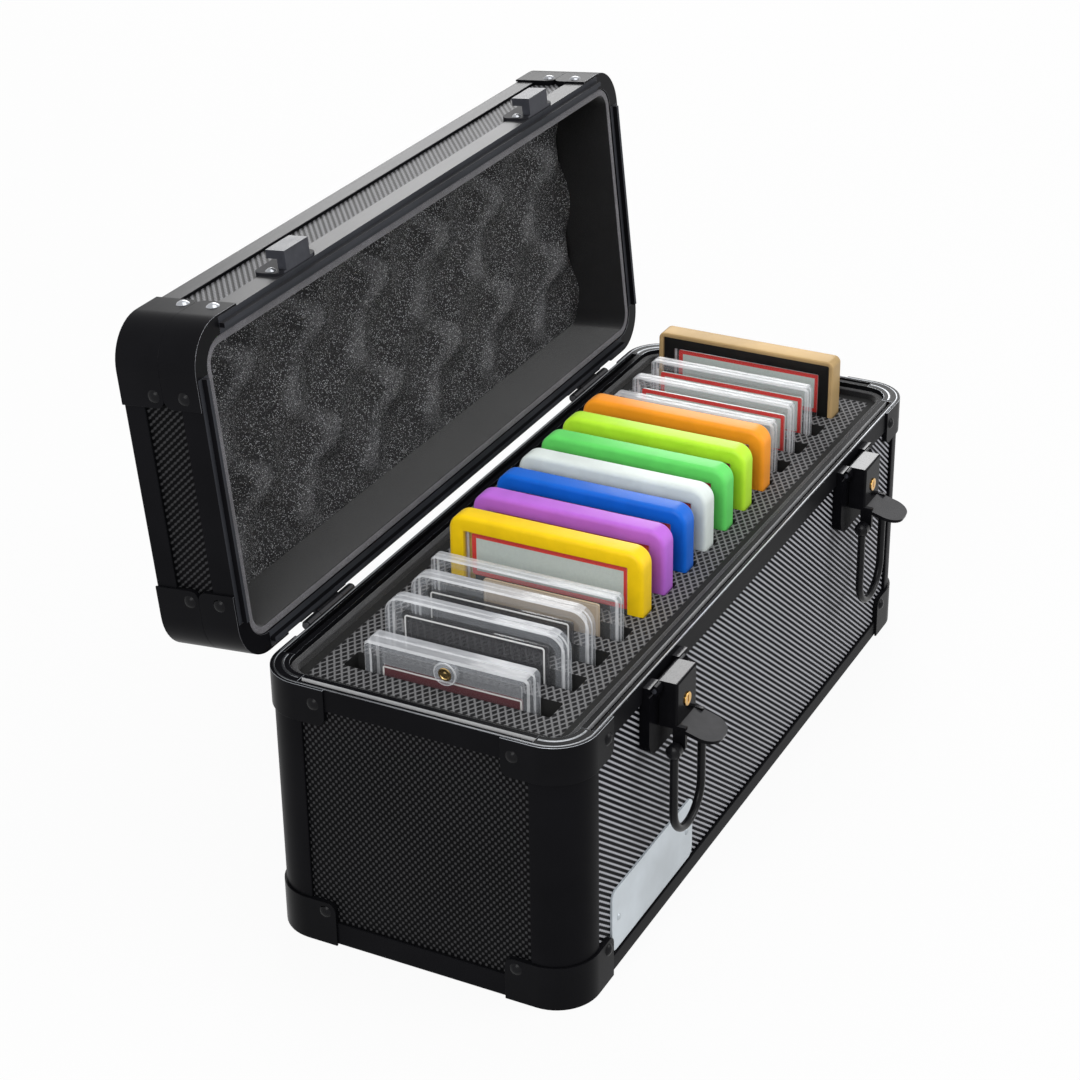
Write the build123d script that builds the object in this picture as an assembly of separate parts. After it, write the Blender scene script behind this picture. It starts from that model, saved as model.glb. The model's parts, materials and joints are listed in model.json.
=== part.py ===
from build123d import *
import os

# Trading card case: a riveted aluminium and board box with a hinged lid, two
# draw latches, a slotted foam insert and fifteen graded-card holders in it.
# All lengths are millimetres. +X runs along the case, -Y is the latch side,
# +Z is up, and the origin is the middle of the underside.

# Overall size of the case body, lid open angle and shared fits
case_length = 372.0
case_width = 143.0
lid_height = 38.0
corner_radius = 18.0
least_radius = 1.0
lid_open_angle = 95.7
overrun = 1.0
fit_gap = 0.2
rim_gap = 0.3
running_gap = 0.05

# Rails, panels and rim section shared by the base and the lid
rail_thickness = 1.5
panel_thickness = 3.0
foot_width = 12.0
foot_edge_radius = 1.3
rim_web = 4.0
rim_width = 7.0
rim_flange = 10.0
ridge_width = 2.2
channel_width = 2.4
channel_depth = 2.4
lip_depth = 2.0
lip_gap = 0.25
rim_seam = 19.0
post_leg = 20.5
base_side_rail = 8.0
base_end_rail = 11.0
lid_rail = 10.0

# Corner caps, rim corners and their rivets
cap_proud = 1.0
cap_leg = 32.0
cap_height = 20.5
base_rim_corner = 17.0
tab_radius = 4.0
rivet_inset = 27.0
cap_rivet_height = 16.0
rim_rivet_drop = 7.5
rivet_head_radius = 2.8
rivet_head_height = 1.3
rivet_shank_radius = 1.5

# Linings and foams
lining_thickness = 6.0
base_lining_drop = 2.0
lid_lining_drop = 0.4
insert_drop = 5.0
crate_skin = 1.6
crate_rise = 7.3
crate_pitch = 51.0
crate_dome_radius = 17.0
crate_first_y = -9.0
slab_head_room = 0.8

# Card slots
slot_count = 15
row_margin = 22.5
slot_side_gap = 0.5
slot_end_gap = 1.0
slot_corner = 1.2
seat_gap = 0.3

# Card holders: a clear two-part shell round a card and a label
holder_width = 82.6
holder_height = 136.5
holder_thickness = 6.6
holder_corner = 2.5
holder_wall = 4.0
pocket_thickness = 1.6
sheet_thickness = 1.0
card_side_gap = 5.55
card_lift = 10.0
card_label_gap = 6.8
label_height = 20.0
label_drop = 2.5
rounded_holder_drop = 0.7
rounded_holder_corner = 9.0
rounded_holder_thickness = 7.4
wide_holder_extra = 5.4
wide_holder_drop = 4.3
magnet_holder_less = 7.6
magnet_holder_drop = 8.5
magnet_holder_thickness = 11.0
magnet_card_gap = 9.0
magnet_radius = 3.3
magnet_boss = 2.2
magnet_drop = 6.5
magnet_cap_proud = 0.3

# Bumpers and the framed holder
bumper_wall = 3.25
bumper_side_wall = 4.7
bumper_face = 2.0
bumper_corner = 7.0
bumper_border = 7.4
bumper_edge = 1.9
frame_corner = 3.0
frame_border = 5.0
frame_edge = 0.8
gasket_width = 3.0

# Label plate on the front panel
plate_length = 80.0
plate_height = 29.5
plate_thickness = 1.0
plate_corner = 4.0
plate_gap = 1.0
plate_end_gap = 1.5
plate_rivet_inset = 6.0
plate_rivet_radius = 1.6
plate_rivet_height = 0.7

# Butt hinges on the rear rim
hinge_end_gap = 61.0
hinge_length = 36.0
hinge_out = 2.3
hinge_drop = 1.2
knuckle_radius = 2.1
hinge_pin_radius = 1.0
hinge_pin_head_radius = 1.7
hinge_pin_head = 0.8
leaf_thickness = 1.2
leaf_gap = 0.3
leaf_edge = 0.4
knuckle_share = 0.5
hinge_rivet_share = 0.32
hinge_rivet_radius = 1.4
hinge_rivet_height = 0.6

# Draw latches on the front
latch_end_gap = 79.0
latch_plate_width = 37.0
latch_plate_height = 33.0
latch_plate_thickness = 3.0
latch_plate_corner = 8.0
latch_drop = 3.0
lug_radius = 2.4
lug_length = 4.5
lug_inset = 3.0
lever_width = 19.0
lever_depth = 8.0
lever_height = 21.0
lever_rise = 2.5
lever_wall = 1.5
lever_side_gap = 0.5
lever_corner = 1.0
barrel_radius = 2.3
latch_pin_radius = 1.2
ear_thickness = 2.0
ear_radius = 2.8
loop_out = 9.0
loop_drop = 26.0
loop_half_span = 13.9
loop_length = 44.5
wire_radius = 1.8
eye_radius = 3.2
loop_pin_radius = 1.5
loop_head_radius = 3.0
loop_head = 1.4
paddle_length = 18.5
paddle_thickness = 1.6
paddle_tilt = 16.0
paddle_corner = 8.0
key_radius = 3.0
key_drop = 9.0
key_length = 3.0
key_proud = 0.6
keyway_width = 0.9
keyway_length = 3.6
keyway_depth = 1.0

# Catches on the lid front
catch_width = 18.0
catch_reach = 8.9
catch_low = 0.6
catch_stem = 4.0
catch_height = 9.0
catch_lip = 3.6
catch_flange_width = 30.0
catch_flange_height = 13.0
catch_flange_thickness = 1.2
catch_flange_corner = 4.0
catch_rivet_span = 23.0
catch_rivet_height = 6.0
catch_rivet_radius = 2.3
catch_rivet_head = 1.1

# Carrying handle on the lid top
handle_span = 104.0
handle_reach = 30.0
handle_pivot_y = 0.0
handle_pivot_rise = 8.5
handle_rod_radius = 3.0
handle_bend = 12.0
grip_length = 60.0
grip_radius = 6.5
grip_edge = 2.5
bracket_length = 22.0
bracket_width = 9.0
bracket_foot = 2.0
bracket_ear_radius = 6.0
bracket_corner = 3.0
handle_end_gap = 0.5

# Levels and places worked out from the sizes above
half_length = case_length / 2
half_width = case_width / 2
hinge_offset = half_length - hinge_end_gap
latch_offset = half_length - latch_end_gap
panel_inset = rail_thickness
panel_back = rail_thickness + panel_thickness
lining_inner = panel_back + lining_thickness
floor_top = rail_thickness + panel_thickness
seat_level = floor_top + seat_gap
bumper_width = holder_width + 2 * bumper_side_wall
bumper_height = holder_height + 2 * bumper_wall
bumper_thickness = holder_thickness + 2 * bumper_face
slot_pitch = (case_length - 2 * row_margin) / slot_count
slot_width = magnet_holder_thickness + 2 * slot_side_gap
slot_length = bumper_width + 2 * slot_end_gap
card_width = holder_width - 2 * (holder_wall + card_side_gap)
label_low = holder_height - holder_wall - label_drop - label_height
card_height = label_low - card_label_gap - card_lift - seat_gap - holder_wall
crate_peak = seat_level + bumper_height + slab_head_room
lid_ceiling = crate_peak + crate_rise + crate_skin
lid_top = lid_ceiling + floor_top
base_height = lid_top - lid_height
insert_top = base_height - insert_drop
hinge_y = half_width + hinge_out
hinge_z = base_height - hinge_drop
latch_top = base_height - latch_drop
latch_axis_z = latch_top - lug_inset
latch_axis_out = latch_plate_thickness


def block(x0, x1, y0, y1, z0, z1):
    """A box between two corners, given in any order."""
    centre = Pos((x0 + x1) / 2, (y0 + y1) / 2, (z0 + z1) / 2)
    return centre * Box(abs(x1 - x0), abs(y1 - y0), abs(z1 - z0))


def prism(inset, low, high):
    """The case outline, drawn in by inset, between two levels."""
    radius = max(corner_radius - inset, least_radius)
    outline = RectangleRounded(case_length - 2 * inset, case_width - 2 * inset, radius)
    return Pos(0, 0, low) * extrude(outline, high - low)


def ring(outer, inner, low, high):
    """A wall that follows the case outline between two insets."""
    return prism(outer, low, high) - prism(inner, low - overrun, high + overrun)


def corner_of(solid, leg, low, high):
    """The part of a wall within leg of the +X +Y corner."""
    reach = cap_proud + overrun
    zone = block(half_length - leg, half_length + reach,
                 half_width - leg, half_width + reach, low - overrun, high + overrun)
    return solid & zone


def four_ways(solid):
    """A +X +Y corner piece and its three mirror images."""
    across = mirror(solid, Plane.YZ)
    return [solid, across, mirror(solid, Plane.XZ), mirror(across, Plane.XZ)]


def plate(width, height, corner, thickness):
    """A rounded plate standing in the XZ plane, its back on y = 0 and its front on -thickness."""
    outline = RectangleRounded(width, height, corner)
    return Rot(90, 0, 0) * extrude(outline, thickness)


def bar_x(x0, x1, y, z, radius):
    """A round bar along X."""
    return Pos((x0 + x1) / 2, y, z) * Rot(0, 90, 0) * Cylinder(radius, abs(x1 - x0))


def dome(radius, height):
    """A shallow domed head that stands on z = 0 and points up."""
    sphere_radius = (radius ** 2 + height ** 2) / (2 * height)
    ball = Pos(0, 0, height - sphere_radius) * Sphere(sphere_radius)
    return ball & (Pos(0, 0, height / 2) * Cylinder(radius, height))


def rivet(head_radius, head_height, shank_radius, shank_length):
    """A rivet with its head above z = 0 and its shank below."""
    shank = Pos(0, 0, -shank_length / 2) * Cylinder(shank_radius, shank_length)
    return dome(head_radius, head_height) + shank


def shank_hole(shank_radius, length):
    """A cutter for the hole of a rivet that points along +Z."""
    return Cylinder(shank_radius + running_gap, 2 * length)


def facing(side):
    """Turns +Z to the outward normal of a side of the case."""
    return {"front": Rot(90, 0, 0), "rear": Rot(-90, 0, 0),
            "left": Rot(0, -90, 0), "right": Rot(0, 90, 0)}[side]


def corner_rivet_places(height):
    """Where the caps and rim corners are riveted: side, x, y and level."""
    places = []
    for level in (cap_rivet_height, height - rim_rivet_drop):
        for sign_x in (-1, 1):
            for side, sign_y in (("front", -1), ("rear", 1)):
                x = sign_x * (half_length - rivet_inset)
                places.append((side, x, sign_y * (half_width + cap_proud), level))
        for sign_y in (-1, 1):
            for side, sign_x in (("left", -1), ("right", 1)):
                y = sign_y * (half_width - rivet_inset)
                places.append((side, sign_x * (half_length + cap_proud), y, level))
    return places


def long_and_end(make):
    """Two long-side pieces and two end pieces from make(half span, half depth, turn)."""
    pieces = []
    front = make(half_length, base_side_rail)
    side = make(half_width, base_end_rail)
    for turn in (0, 180):
        pieces.append(Rot(0, 0, turn) * (Pos(0, -half_width, 0) * front))
    for turn in (-90, 90):
        pieces.append(Rot(0, 0, turn) * (Pos(0, -half_length, 0) * side))
    return pieces


def rim_rail(half_span, height, has_lip):
    """One straight rim rail on the y = 0 face, with inward along +Y."""
    reach = half_span - rim_seam
    rail = block(-reach, reach, 0, rim_width, height - rim_web, height)
    rail += block(-reach, reach, 0, rail_thickness, height - rim_flange, height - rim_web)
    low = ridge_width
    high = ridge_width + channel_width
    if has_lip:
        lip_reach = reach - lip_gap
        return rail + block(-lip_reach, lip_reach, low + lip_gap, high - lip_gap,
                            height - rim_web, height + rim_gap + lip_depth)
    return rail - block(-half_span, half_span, low, high,
                        height - channel_depth, height + overrun)


def edge_rail(half_span, rail_height):
    """One straight angle rail on the outer edge of the floor or the lid top."""
    reach = half_span - rim_seam
    rail = block(-reach, reach, 0, rail_thickness, 0, rail_height)
    rail += block(-reach, reach, 0, foot_width, 0, rail_thickness)
    outer = rail.edges().filter_by(Axis.X).sort_by(lambda e: e.center().Y + e.center().Z)[0]
    return fillet(outer, foot_edge_radius)


def side_panel(half_span, height):
    """One flat wall panel between the corner posts."""
    reach = half_span - corner_radius
    return block(-reach, reach, panel_inset, panel_back, rail_thickness, height - rim_web)


def tab(low, high, rail_low, rail_high, round_top):
    """The two flat tabs of a cap or rim corner at +X +Y, cleared round the rails under them."""
    long_low, long_high = rail_low[0], rail_high[0]
    end_low, end_high = rail_low[1], rail_high[1]
    on_side = block(half_length - cap_leg, half_length - rim_seam,
                    half_width - rail_thickness, half_width + cap_proud, low, high)
    on_end = block(half_length - rail_thickness, half_length + cap_proud,
                   half_width - cap_leg, half_width - rim_seam, low, high)
    level = high if round_top else low
    side_edge = on_side.edges().filter_by(Axis.Y).sort_by(
        lambda e: abs(e.center().Z - level) + e.center().X)[0]
    end_edge = on_end.edges().filter_by(Axis.X).sort_by(
        lambda e: abs(e.center().Z - level) + e.center().Y)[0]
    on_side = fillet(side_edge, tab_radius)
    on_end = fillet(end_edge, tab_radius)
    on_side -= block(0, half_length, 0, half_width, long_low, long_high)
    on_end -= block(0, half_length, 0, half_width, end_low, end_high)
    return on_side + on_end


def cap(rail_heights):
    """The cap over the +X +Y corner of the floor or the lid top."""
    wall = ring(-cap_proud, rail_thickness, 0, cap_height)
    sole = ring(-cap_proud, foot_width, 0, rail_thickness)
    body = corner_of(wall + sole, rim_seam, 0, cap_height)
    tabs = tab(0, cap_height, (-overrun, -overrun), rail_heights, True)
    return body + tabs


def rim_corner(height, corner_height):
    """The rim corner at +X +Y: a riveted wall with a flat top over the rim."""
    low = height - corner_height
    wall = ring(-cap_proud, rail_thickness, low, height)
    top = ring(-cap_proud, rim_width, height - rim_web, height)
    body = corner_of(wall + top, rim_seam, low, height)
    flange_low = height - rim_flange
    tabs = tab(low, height, (flange_low, flange_low), (height + overrun, height + overrun), False)
    return body + tabs


def corner_post(height, outer_low, outer_high):
    """The upright at +X +Y that the panels meet, with its curved outer face."""
    low, high = rail_thickness, height - rim_web
    post = corner_of(ring(panel_inset, panel_back, low, high), corner_radius, low, high)
    if outer_high > outer_low:
        face = ring(0, rail_thickness, outer_low, outer_high)
        post += corner_of(face, post_leg, outer_low, outer_high)
    return post


def closing_panel():
    """The floor or lid top: a board on the rails' feet with a skin flush between them."""
    board = prism(panel_back, rail_thickness, floor_top)
    return board + prism(foot_width + fit_gap, 0, rail_thickness)


def lining(height, drop):
    """The lining on the walls, stepped under the rim."""
    wall = ring(panel_back, lining_inner, floor_top, height - rim_web)
    return wall + ring(rim_width, lining_inner, height - rim_web, height - drop)


def shell(height, rail_heights, corner_height, has_lip, lining_drop):
    """The pieces of one half of the case, open side up, on z = 0."""
    rail_by_span = {half_length: rail_heights[0], half_width: rail_heights[1]}
    post = corner_post(height, cap_height, height - corner_height)
    pieces = {
        "closing_panel": [closing_panel()],
        "panels": long_and_end(lambda span, _: side_panel(span, height)),
        "posts": four_ways(post),
        "edge_rails": long_and_end(lambda span, _: edge_rail(span, rail_by_span[span])),
        "caps": four_ways(cap(rail_heights)),
        "rim_rails": long_and_end(lambda span, _: rim_rail(span, height, has_lip)),
        "rim_corners": four_ways(rim_corner(height, corner_height)),
        "lining": [lining(height, lining_drop)],
    }
    shank_length = cap_proud + panel_back
    rivets = []
    for side, x, y, level in corner_rivet_places(height):
        place = Pos(x, y, level) * facing(side)
        rivets.append(place * rivet(rivet_head_radius, rivet_head_height,
                                    rivet_shank_radius, shank_length))
        hole = place * shank_hole(rivet_shank_radius, shank_length + overrun)
        for name in ("panels", "caps", "rim_rails", "rim_corners"):
            pieces[name] = [cut_if_near(piece, hole) for piece in pieces[name]]
    pieces["rivets"] = rivets
    return pieces


def cut_if_near(piece, cutter):
    """The piece less the cutter, where their boxes meet."""
    a, b = piece.bounding_box(), cutter.bounding_box()
    apart = (a.min.X > b.max.X or b.min.X > a.max.X or a.min.Y > b.max.Y
             or b.min.Y > a.max.Y or a.min.Z > b.max.Z or b.min.Z > a.max.Z)
    return piece if apart else piece - cutter


def slotted_insert():
    """The foam block in the base, cut right through by the card slots."""
    foam = prism(lining_inner + fit_gap, floor_top, insert_top)
    depth = insert_top - floor_top
    outline = RectangleRounded(slot_width, slot_length, slot_corner)
    cutter = Pos(0, 0, floor_top - overrun) * extrude(outline, depth + 2 * overrun)
    return foam - [Pos(x, 0, 0) * cutter for x in slot_centres()]


def slot_centres():
    """The X of every slot, left to right."""
    return [(i - (slot_count - 1) / 2) * slot_pitch for i in range(slot_count)]


def egg_crate():
    """The egg-crate pad under the lid top, peaks towards the cards, with the lid closed."""
    inset = lining_inner + fit_gap
    skin_low = lid_ceiling - crate_skin
    pad = prism(inset, skin_low, lid_ceiling)
    rise = skin_low - crate_peak
    ball_radius = (crate_dome_radius ** 2 + rise ** 2) / (2 * rise)
    hump = Pos(0, 0, crate_peak + ball_radius) * Sphere(ball_radius)
    hump &= Pos(0, 0, skin_low) * Cylinder(2 * crate_dome_radius, 2 * (skin_low - crate_peak))
    hump &= block(-crate_pitch, crate_pitch, -crate_pitch, crate_pitch, crate_peak, skin_low)
    room = prism(inset, crate_peak - overrun, lid_ceiling)
    last_x = half_length - inset
    steps_x = int(case_length / crate_pitch) + 1
    steps_y = int(case_width / crate_pitch) + 1
    for i in range(2 * steps_x):
        for j in range(-steps_y, steps_y + 1):
            x = last_x - i * crate_pitch / 2
            y = crate_first_y + (j + (i % 2) / 2) * crate_pitch
            inside = x > -last_x - crate_pitch / 4 and abs(y) < half_width - inset
            if inside:
                pad += (Pos(x, y, 0) * hump) & room
    return pad


def upright(width, height, corner, thickness):
    """A rounded upright slab on z = 0, centred on x = 0 and y = 0, flat across X."""
    outline = RectangleRounded(width, height, corner)
    slab = extrude(Plane.YZ * outline, thickness)
    return Pos(-thickness / 2, 0, height / 2) * slab


def clear_holder(width, height, corner, thickness, lift):
    """A clear shell with its card, lift above the pocket's floor, and its label."""
    pocket_width = width - 2 * holder_wall
    pocket_height = height - 2 * holder_wall
    pocket = Pos(0, 0, holder_wall) * upright(pocket_width, pocket_height,
                                              least_radius, pocket_thickness)
    shell_body = upright(width, height, corner, thickness) - pocket
    card = Pos(0, 0, holder_wall + seat_gap + lift) * upright(
        card_width, card_height, least_radius, sheet_thickness)
    label_z = height - holder_wall - label_drop - label_height
    label = Pos(0, 0, label_z) * upright(pocket_width - 2 * fit_gap, label_height,
                                         least_radius, sheet_thickness)
    return [shell_body, card, label]


def magnet_holder():
    """A thick clear block holder with a round magnet in a low boss near its top."""
    height = holder_height - magnet_holder_drop
    lift = height - 2 * holder_wall - magnet_card_gap - card_height - seat_gap
    solids = clear_holder(holder_width - magnet_holder_less, height,
                          holder_corner, magnet_holder_thickness, lift)
    button_z = height - magnet_drop
    length = (magnet_holder_thickness - pocket_thickness) / 2 - holder_corner / 2
    face = -magnet_holder_thickness / 2
    out = face - magnet_cap_proud
    button = bar_x(out, out + length, 0, button_z, magnet_radius)
    seat = bar_x(out - overrun, out + length + fit_gap, 0, button_z, magnet_radius + running_gap)
    boss = bar_x(out, face + holder_corner / 2, 0, button_z, magnet_radius + magnet_boss)
    shell_body, card, _ = solids
    return [shell_body + boss - seat, card, button]


def bumper_ring(corner, edge, border):
    """A frame that wraps a holder and leaves both faces in view inside a border."""
    body = upright(bumper_width, bumper_height, corner, bumper_thickness)
    long_edges = body.faces().filter_by(Axis.X).edges()
    body = fillet(long_edges, edge)
    lift = (bumper_height - holder_height) / 2
    nest = Pos(0, 0, lift - fit_gap / 2) * upright(
        holder_width + fit_gap, holder_height + fit_gap, holder_corner,
        holder_thickness + fit_gap)
    view = Pos(0, 0, border) * upright(
        bumper_width - 2 * border, bumper_height - 2 * border, holder_corner,
        bumper_thickness + 2 * overrun)
    return body - nest - view


def bumper_slab():
    """A clear holder inside a soft bumper."""
    lift = (bumper_height - holder_height) / 2
    inner = clear_holder(holder_width, holder_height, holder_corner, holder_thickness, card_lift)
    ring_body = bumper_ring(bumper_corner, bumper_edge, bumper_border)
    return [ring_body] + [Pos(0, 0, lift) * s for s in inner]


def framed_slab():
    """A clear holder inside a metal frame with a dark gasket round each window."""
    lift = (bumper_height - holder_height) / 2
    inner = clear_holder(holder_width, holder_height, holder_corner, holder_thickness, card_lift)
    frame = bumper_ring(frame_corner, frame_edge, frame_border)
    view_width = bumper_width - 2 * frame_border
    view_height = bumper_height - 2 * frame_border
    face = holder_thickness / 2 + fit_gap
    depth = bumper_thickness / 2 - face - fit_gap
    outer = upright(view_width, view_height, holder_corner, depth)
    hole = Pos(0, 0, gasket_width) * upright(
        view_width - 2 * gasket_width, view_height - 2 * gasket_width,
        least_radius, depth + 2 * overrun)
    gasket = outer - hole
    gaskets = [Pos(side * (face + depth / 2), 0, frame_border) * gasket for side in (-1, 1)]
    return [frame] + gaskets + [Pos(0, 0, lift) * s for s in inner]


def card_slabs():
    """Every slab in its slot, front of the row first."""
    rounded = clear_holder(holder_width, holder_height - rounded_holder_drop,
                           rounded_holder_corner, rounded_holder_thickness, card_lift)
    wide = clear_holder(holder_width + wide_holder_extra, holder_height - wide_holder_drop,
                        holder_corner, holder_thickness, card_lift)
    plain = clear_holder(holder_width, holder_height, holder_corner, holder_thickness, card_lift)
    bumper = bumper_slab()
    row = [magnet_holder(), rounded, rounded, wide]
    row += [bumper] * (slot_count - len(row) - 4)
    row += [plain] * 3 + [framed_slab()]
    slabs = {}
    for number, (x, solids) in enumerate(zip(slot_centres(), row), start=1):
        place = Pos(x, 0, seat_level)
        slabs[f"card_slab_{number:02d}"] = [place * solid for solid in solids]
    return slabs


def label_plate():
    """The blank label plate and its two rivets, with their holes in the front panel."""
    left = -(half_length - cap_leg - plate_end_gap)
    low = base_side_rail + plate_gap
    place = Pos(left + plate_length / 2, -half_width + panel_inset, low + plate_height / 2)
    body = place * plate(plate_length, plate_height, plate_corner, plate_thickness)
    rivets, holes = [], []
    shank_length = plate_thickness + panel_thickness
    for sign in (-1, 1):
        spot = place * Pos(sign * (plate_length / 2 - plate_rivet_inset), -plate_thickness, 0)
        spot *= facing("front")
        shank_radius = plate_rivet_radius / 2
        rivets.append(spot * rivet(plate_rivet_radius, plate_rivet_height,
                                   shank_radius, shank_length))
        holes.append(spot * shank_hole(shank_radius, shank_length + overrun))
    return body - holes, rivets, holes


def hinge_leaf(up):
    """One hinge leaf about x = 0 on the rear face: the lid's leaf goes up, the base's down."""
    sign = 1 if up else -1
    reach = hinge_length / 2
    inner = reach * knuckle_share
    near = hinge_z + sign * (knuckle_radius + leaf_gap)
    far = base_height + sign * (rim_flange - leaf_edge)
    leaf = block(-reach, reach, half_width, half_width + leaf_thickness, near, far)
    spans = [(-inner + leaf_gap / 2, inner - leaf_gap / 2)]
    if not up:
        spans = [(-reach, -inner - leaf_gap / 2), (inner + leaf_gap / 2, reach)]
    for x0, x1 in spans:
        leaf += block(x0, x1, half_width, half_width + leaf_thickness, near, hinge_z)
        leaf += bar_x(x0, x1, hinge_y, hinge_z, knuckle_radius)
    bore = hinge_pin_radius + (running_gap if up else running_gap / 2)
    leaf -= bar_x(-hinge_length, hinge_length, hinge_y, hinge_z, bore)
    rivets, holes = [], []
    shank_length = leaf_thickness + panel_back
    for side in (-1, 1):
        place = Pos(side * reach * 2 * hinge_rivet_share, half_width + leaf_thickness,
                    (near + far) / 2) * facing("rear")
        shank_radius = hinge_rivet_radius / 2
        rivets.append(place * rivet(hinge_rivet_radius, hinge_rivet_height,
                                    shank_radius, shank_length))
        holes.append(place * shank_hole(shank_radius, shank_length + overrun))
    return leaf - holes, rivets, holes


def hinge_pin():
    """A hinge pin about x = 0, headed at both ends."""
    reach = hinge_length / 2
    pin = bar_x(-reach, reach, hinge_y, hinge_z, hinge_pin_radius)
    for side in (-1, 1):
        pin += bar_x(side * reach, side * (reach + hinge_pin_head),
                     hinge_y, hinge_z, hinge_pin_head_radius)
    return pin


def latch_plate():
    """The latch's back plate with its two hinge lugs, about x = 0."""
    middle = latch_top - latch_plate_height / 2
    front = -half_width
    body = Pos(0, front, middle) * plate(latch_plate_width, latch_plate_height,
                                         latch_plate_corner, latch_plate_thickness)
    top_half = block(-latch_plate_width / 2, latch_plate_width / 2, front,
                     front - latch_plate_thickness, middle, latch_top)
    body += top_half
    pad = Pos(0, front + panel_inset, middle) * plate(
        latch_plate_width, latch_plate_height, latch_plate_corner, panel_inset)
    pad &= block(-latch_plate_width, latch_plate_width, front, front + panel_inset,
                 middle - latch_plate_height, base_height - rim_flange)
    body += pad
    gap = lever_width / 2 + lever_side_gap
    notch_low = latch_axis_z - barrel_radius - lever_side_gap - lever_rise
    body -= block(-gap, gap, front - latch_plate_thickness - overrun, front,
                  notch_low, latch_top + overrun)
    axis_y = front - latch_axis_out
    for side in (-1, 1):
        body += bar_x(side * gap, side * (gap + lug_length), axis_y, latch_axis_z, lug_radius)
    return body - bar_x(-latch_plate_width, latch_plate_width, axis_y, latch_axis_z,
                        latch_pin_radius + running_gap / 2)


def latch_pin():
    """The pin through the lugs and the lever's barrel, about x = 0."""
    reach = lever_width / 2 + lever_side_gap + lug_length
    return bar_x(-reach, reach, -half_width - latch_axis_out, latch_axis_z, latch_pin_radius)


def lever_levels():
    """The lever box's back, front, bottom and top."""
    back = -half_width - latch_axis_out - fit_gap
    top = latch_axis_z + lever_rise
    return back, back - lever_depth, top - lever_height, top


def loop_axis():
    """The Y and Z of the loop's pivot."""
    return -half_width - latch_axis_out - loop_out, latch_axis_z - loop_drop


def latch_lever():
    """The lever: a hollow box on a barrel, a finger paddle and two ears for the loop."""
    back, front, low, top = lever_levels()
    reach = lever_width / 2
    box = block(-reach, reach, back, front, low, top)
    outer = box.faces().sort_by(Axis.Y)[0].edges()
    box = fillet(outer, lever_corner)
    box -= block(-reach + lever_wall, reach - lever_wall, back + overrun, front + lever_wall,
                 low + lever_wall, latch_axis_z - barrel_radius)
    axis_y = -half_width - latch_axis_out
    box += bar_x(-reach, reach, axis_y, latch_axis_z, barrel_radius)
    loop_y, loop_z = loop_axis()
    for side in (-1, 1):
        inner, outer_x = side * (reach - ear_thickness), side * reach
        ear = block(inner, outer_x, loop_y + ear_radius, loop_y - ear_radius, loop_z, low + lever_wall)
        ear += bar_x(inner, outer_x, loop_y, loop_z, ear_radius)
        box += ear
    box -= bar_x(-lever_width, lever_width, loop_y, loop_z, loop_pin_radius + running_gap / 2)
    box -= bar_x(-lever_width, lever_width, axis_y, latch_axis_z, latch_pin_radius + running_gap)
    outline = RectangleRounded(lever_width, paddle_length + 2 * paddle_corner, paddle_corner)
    leaf = Pos(0, -paddle_length / 2 + paddle_corner, 0) * extrude(outline, paddle_thickness)
    leaf &= block(-reach, reach, lever_wall, -paddle_length - overrun, -overrun, 2 * paddle_thickness)
    leaf = Pos(0, front + lever_wall, low) * Rot(paddle_tilt, 0, 0) * leaf
    box += leaf
    return box - key_bore(running_gap)


def key_place():
    """The middle of the key cylinder's outer face, pointing out of the front."""
    _, front, _, top = lever_levels()
    return Pos(0, front - key_proud, top - key_drop - lever_rise) * facing("front")


def key_bore(gap):
    """The key cylinder's envelope, widened by gap."""
    return key_place() * (Pos(0, 0, -key_length / 2) * Cylinder(key_radius + gap, key_length + 2 * gap))


def key_cylinder():
    """The brass key cylinder with its keyway."""
    keyway = key_place() * Box(keyway_width, keyway_length, 2 * keyway_depth)
    return key_bore(0) - keyway


def loop_pin():
    """One headed pin in each ear, about x = 0."""
    loop_y, loop_z = loop_axis()
    near = lever_width / 2 - ear_thickness
    far = loop_half_span + wire_radius + running_gap
    pins = []
    for side in (-1, 1):
        pin = bar_x(side * near, side * far, loop_y, loop_z, loop_pin_radius)
        head = dome(loop_head_radius, loop_head)
        pin += Pos(side * far, loop_y, loop_z) * Rot(0, side * 90, 0) * head
        pins.append(pin)
    return pins


def latch_loop():
    """The U of wire that hangs from the pins, with an eye on each leg, about x = 0."""
    loop_y, loop_z = loop_axis()
    bend = loop_half_span
    bend_z = loop_z - (loop_length - wire_radius - bend)
    left, right = (-bend, loop_y), (bend, loop_y)
    path = Line((left[0], left[1], loop_z), (left[0], left[1], bend_z))
    path += ThreePointArc((left[0], left[1], bend_z), (0, loop_y, bend_z - bend),
                          (right[0], right[1], bend_z))
    path += Line((right[0], right[1], bend_z), (right[0], right[1], loop_z))
    section = Plane((left[0], left[1], loop_z), z_dir=(0, 0, -1)) * Circle(wire_radius)
    wire = sweep(section, path=path)
    for side in (-1, 1):
        x = side * bend
        wire += bar_x(x - wire_radius, x + wire_radius, loop_y, loop_z, eye_radius)
    return wire - bar_x(-case_width, case_width, loop_y, loop_z, loop_pin_radius + running_gap)


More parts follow.
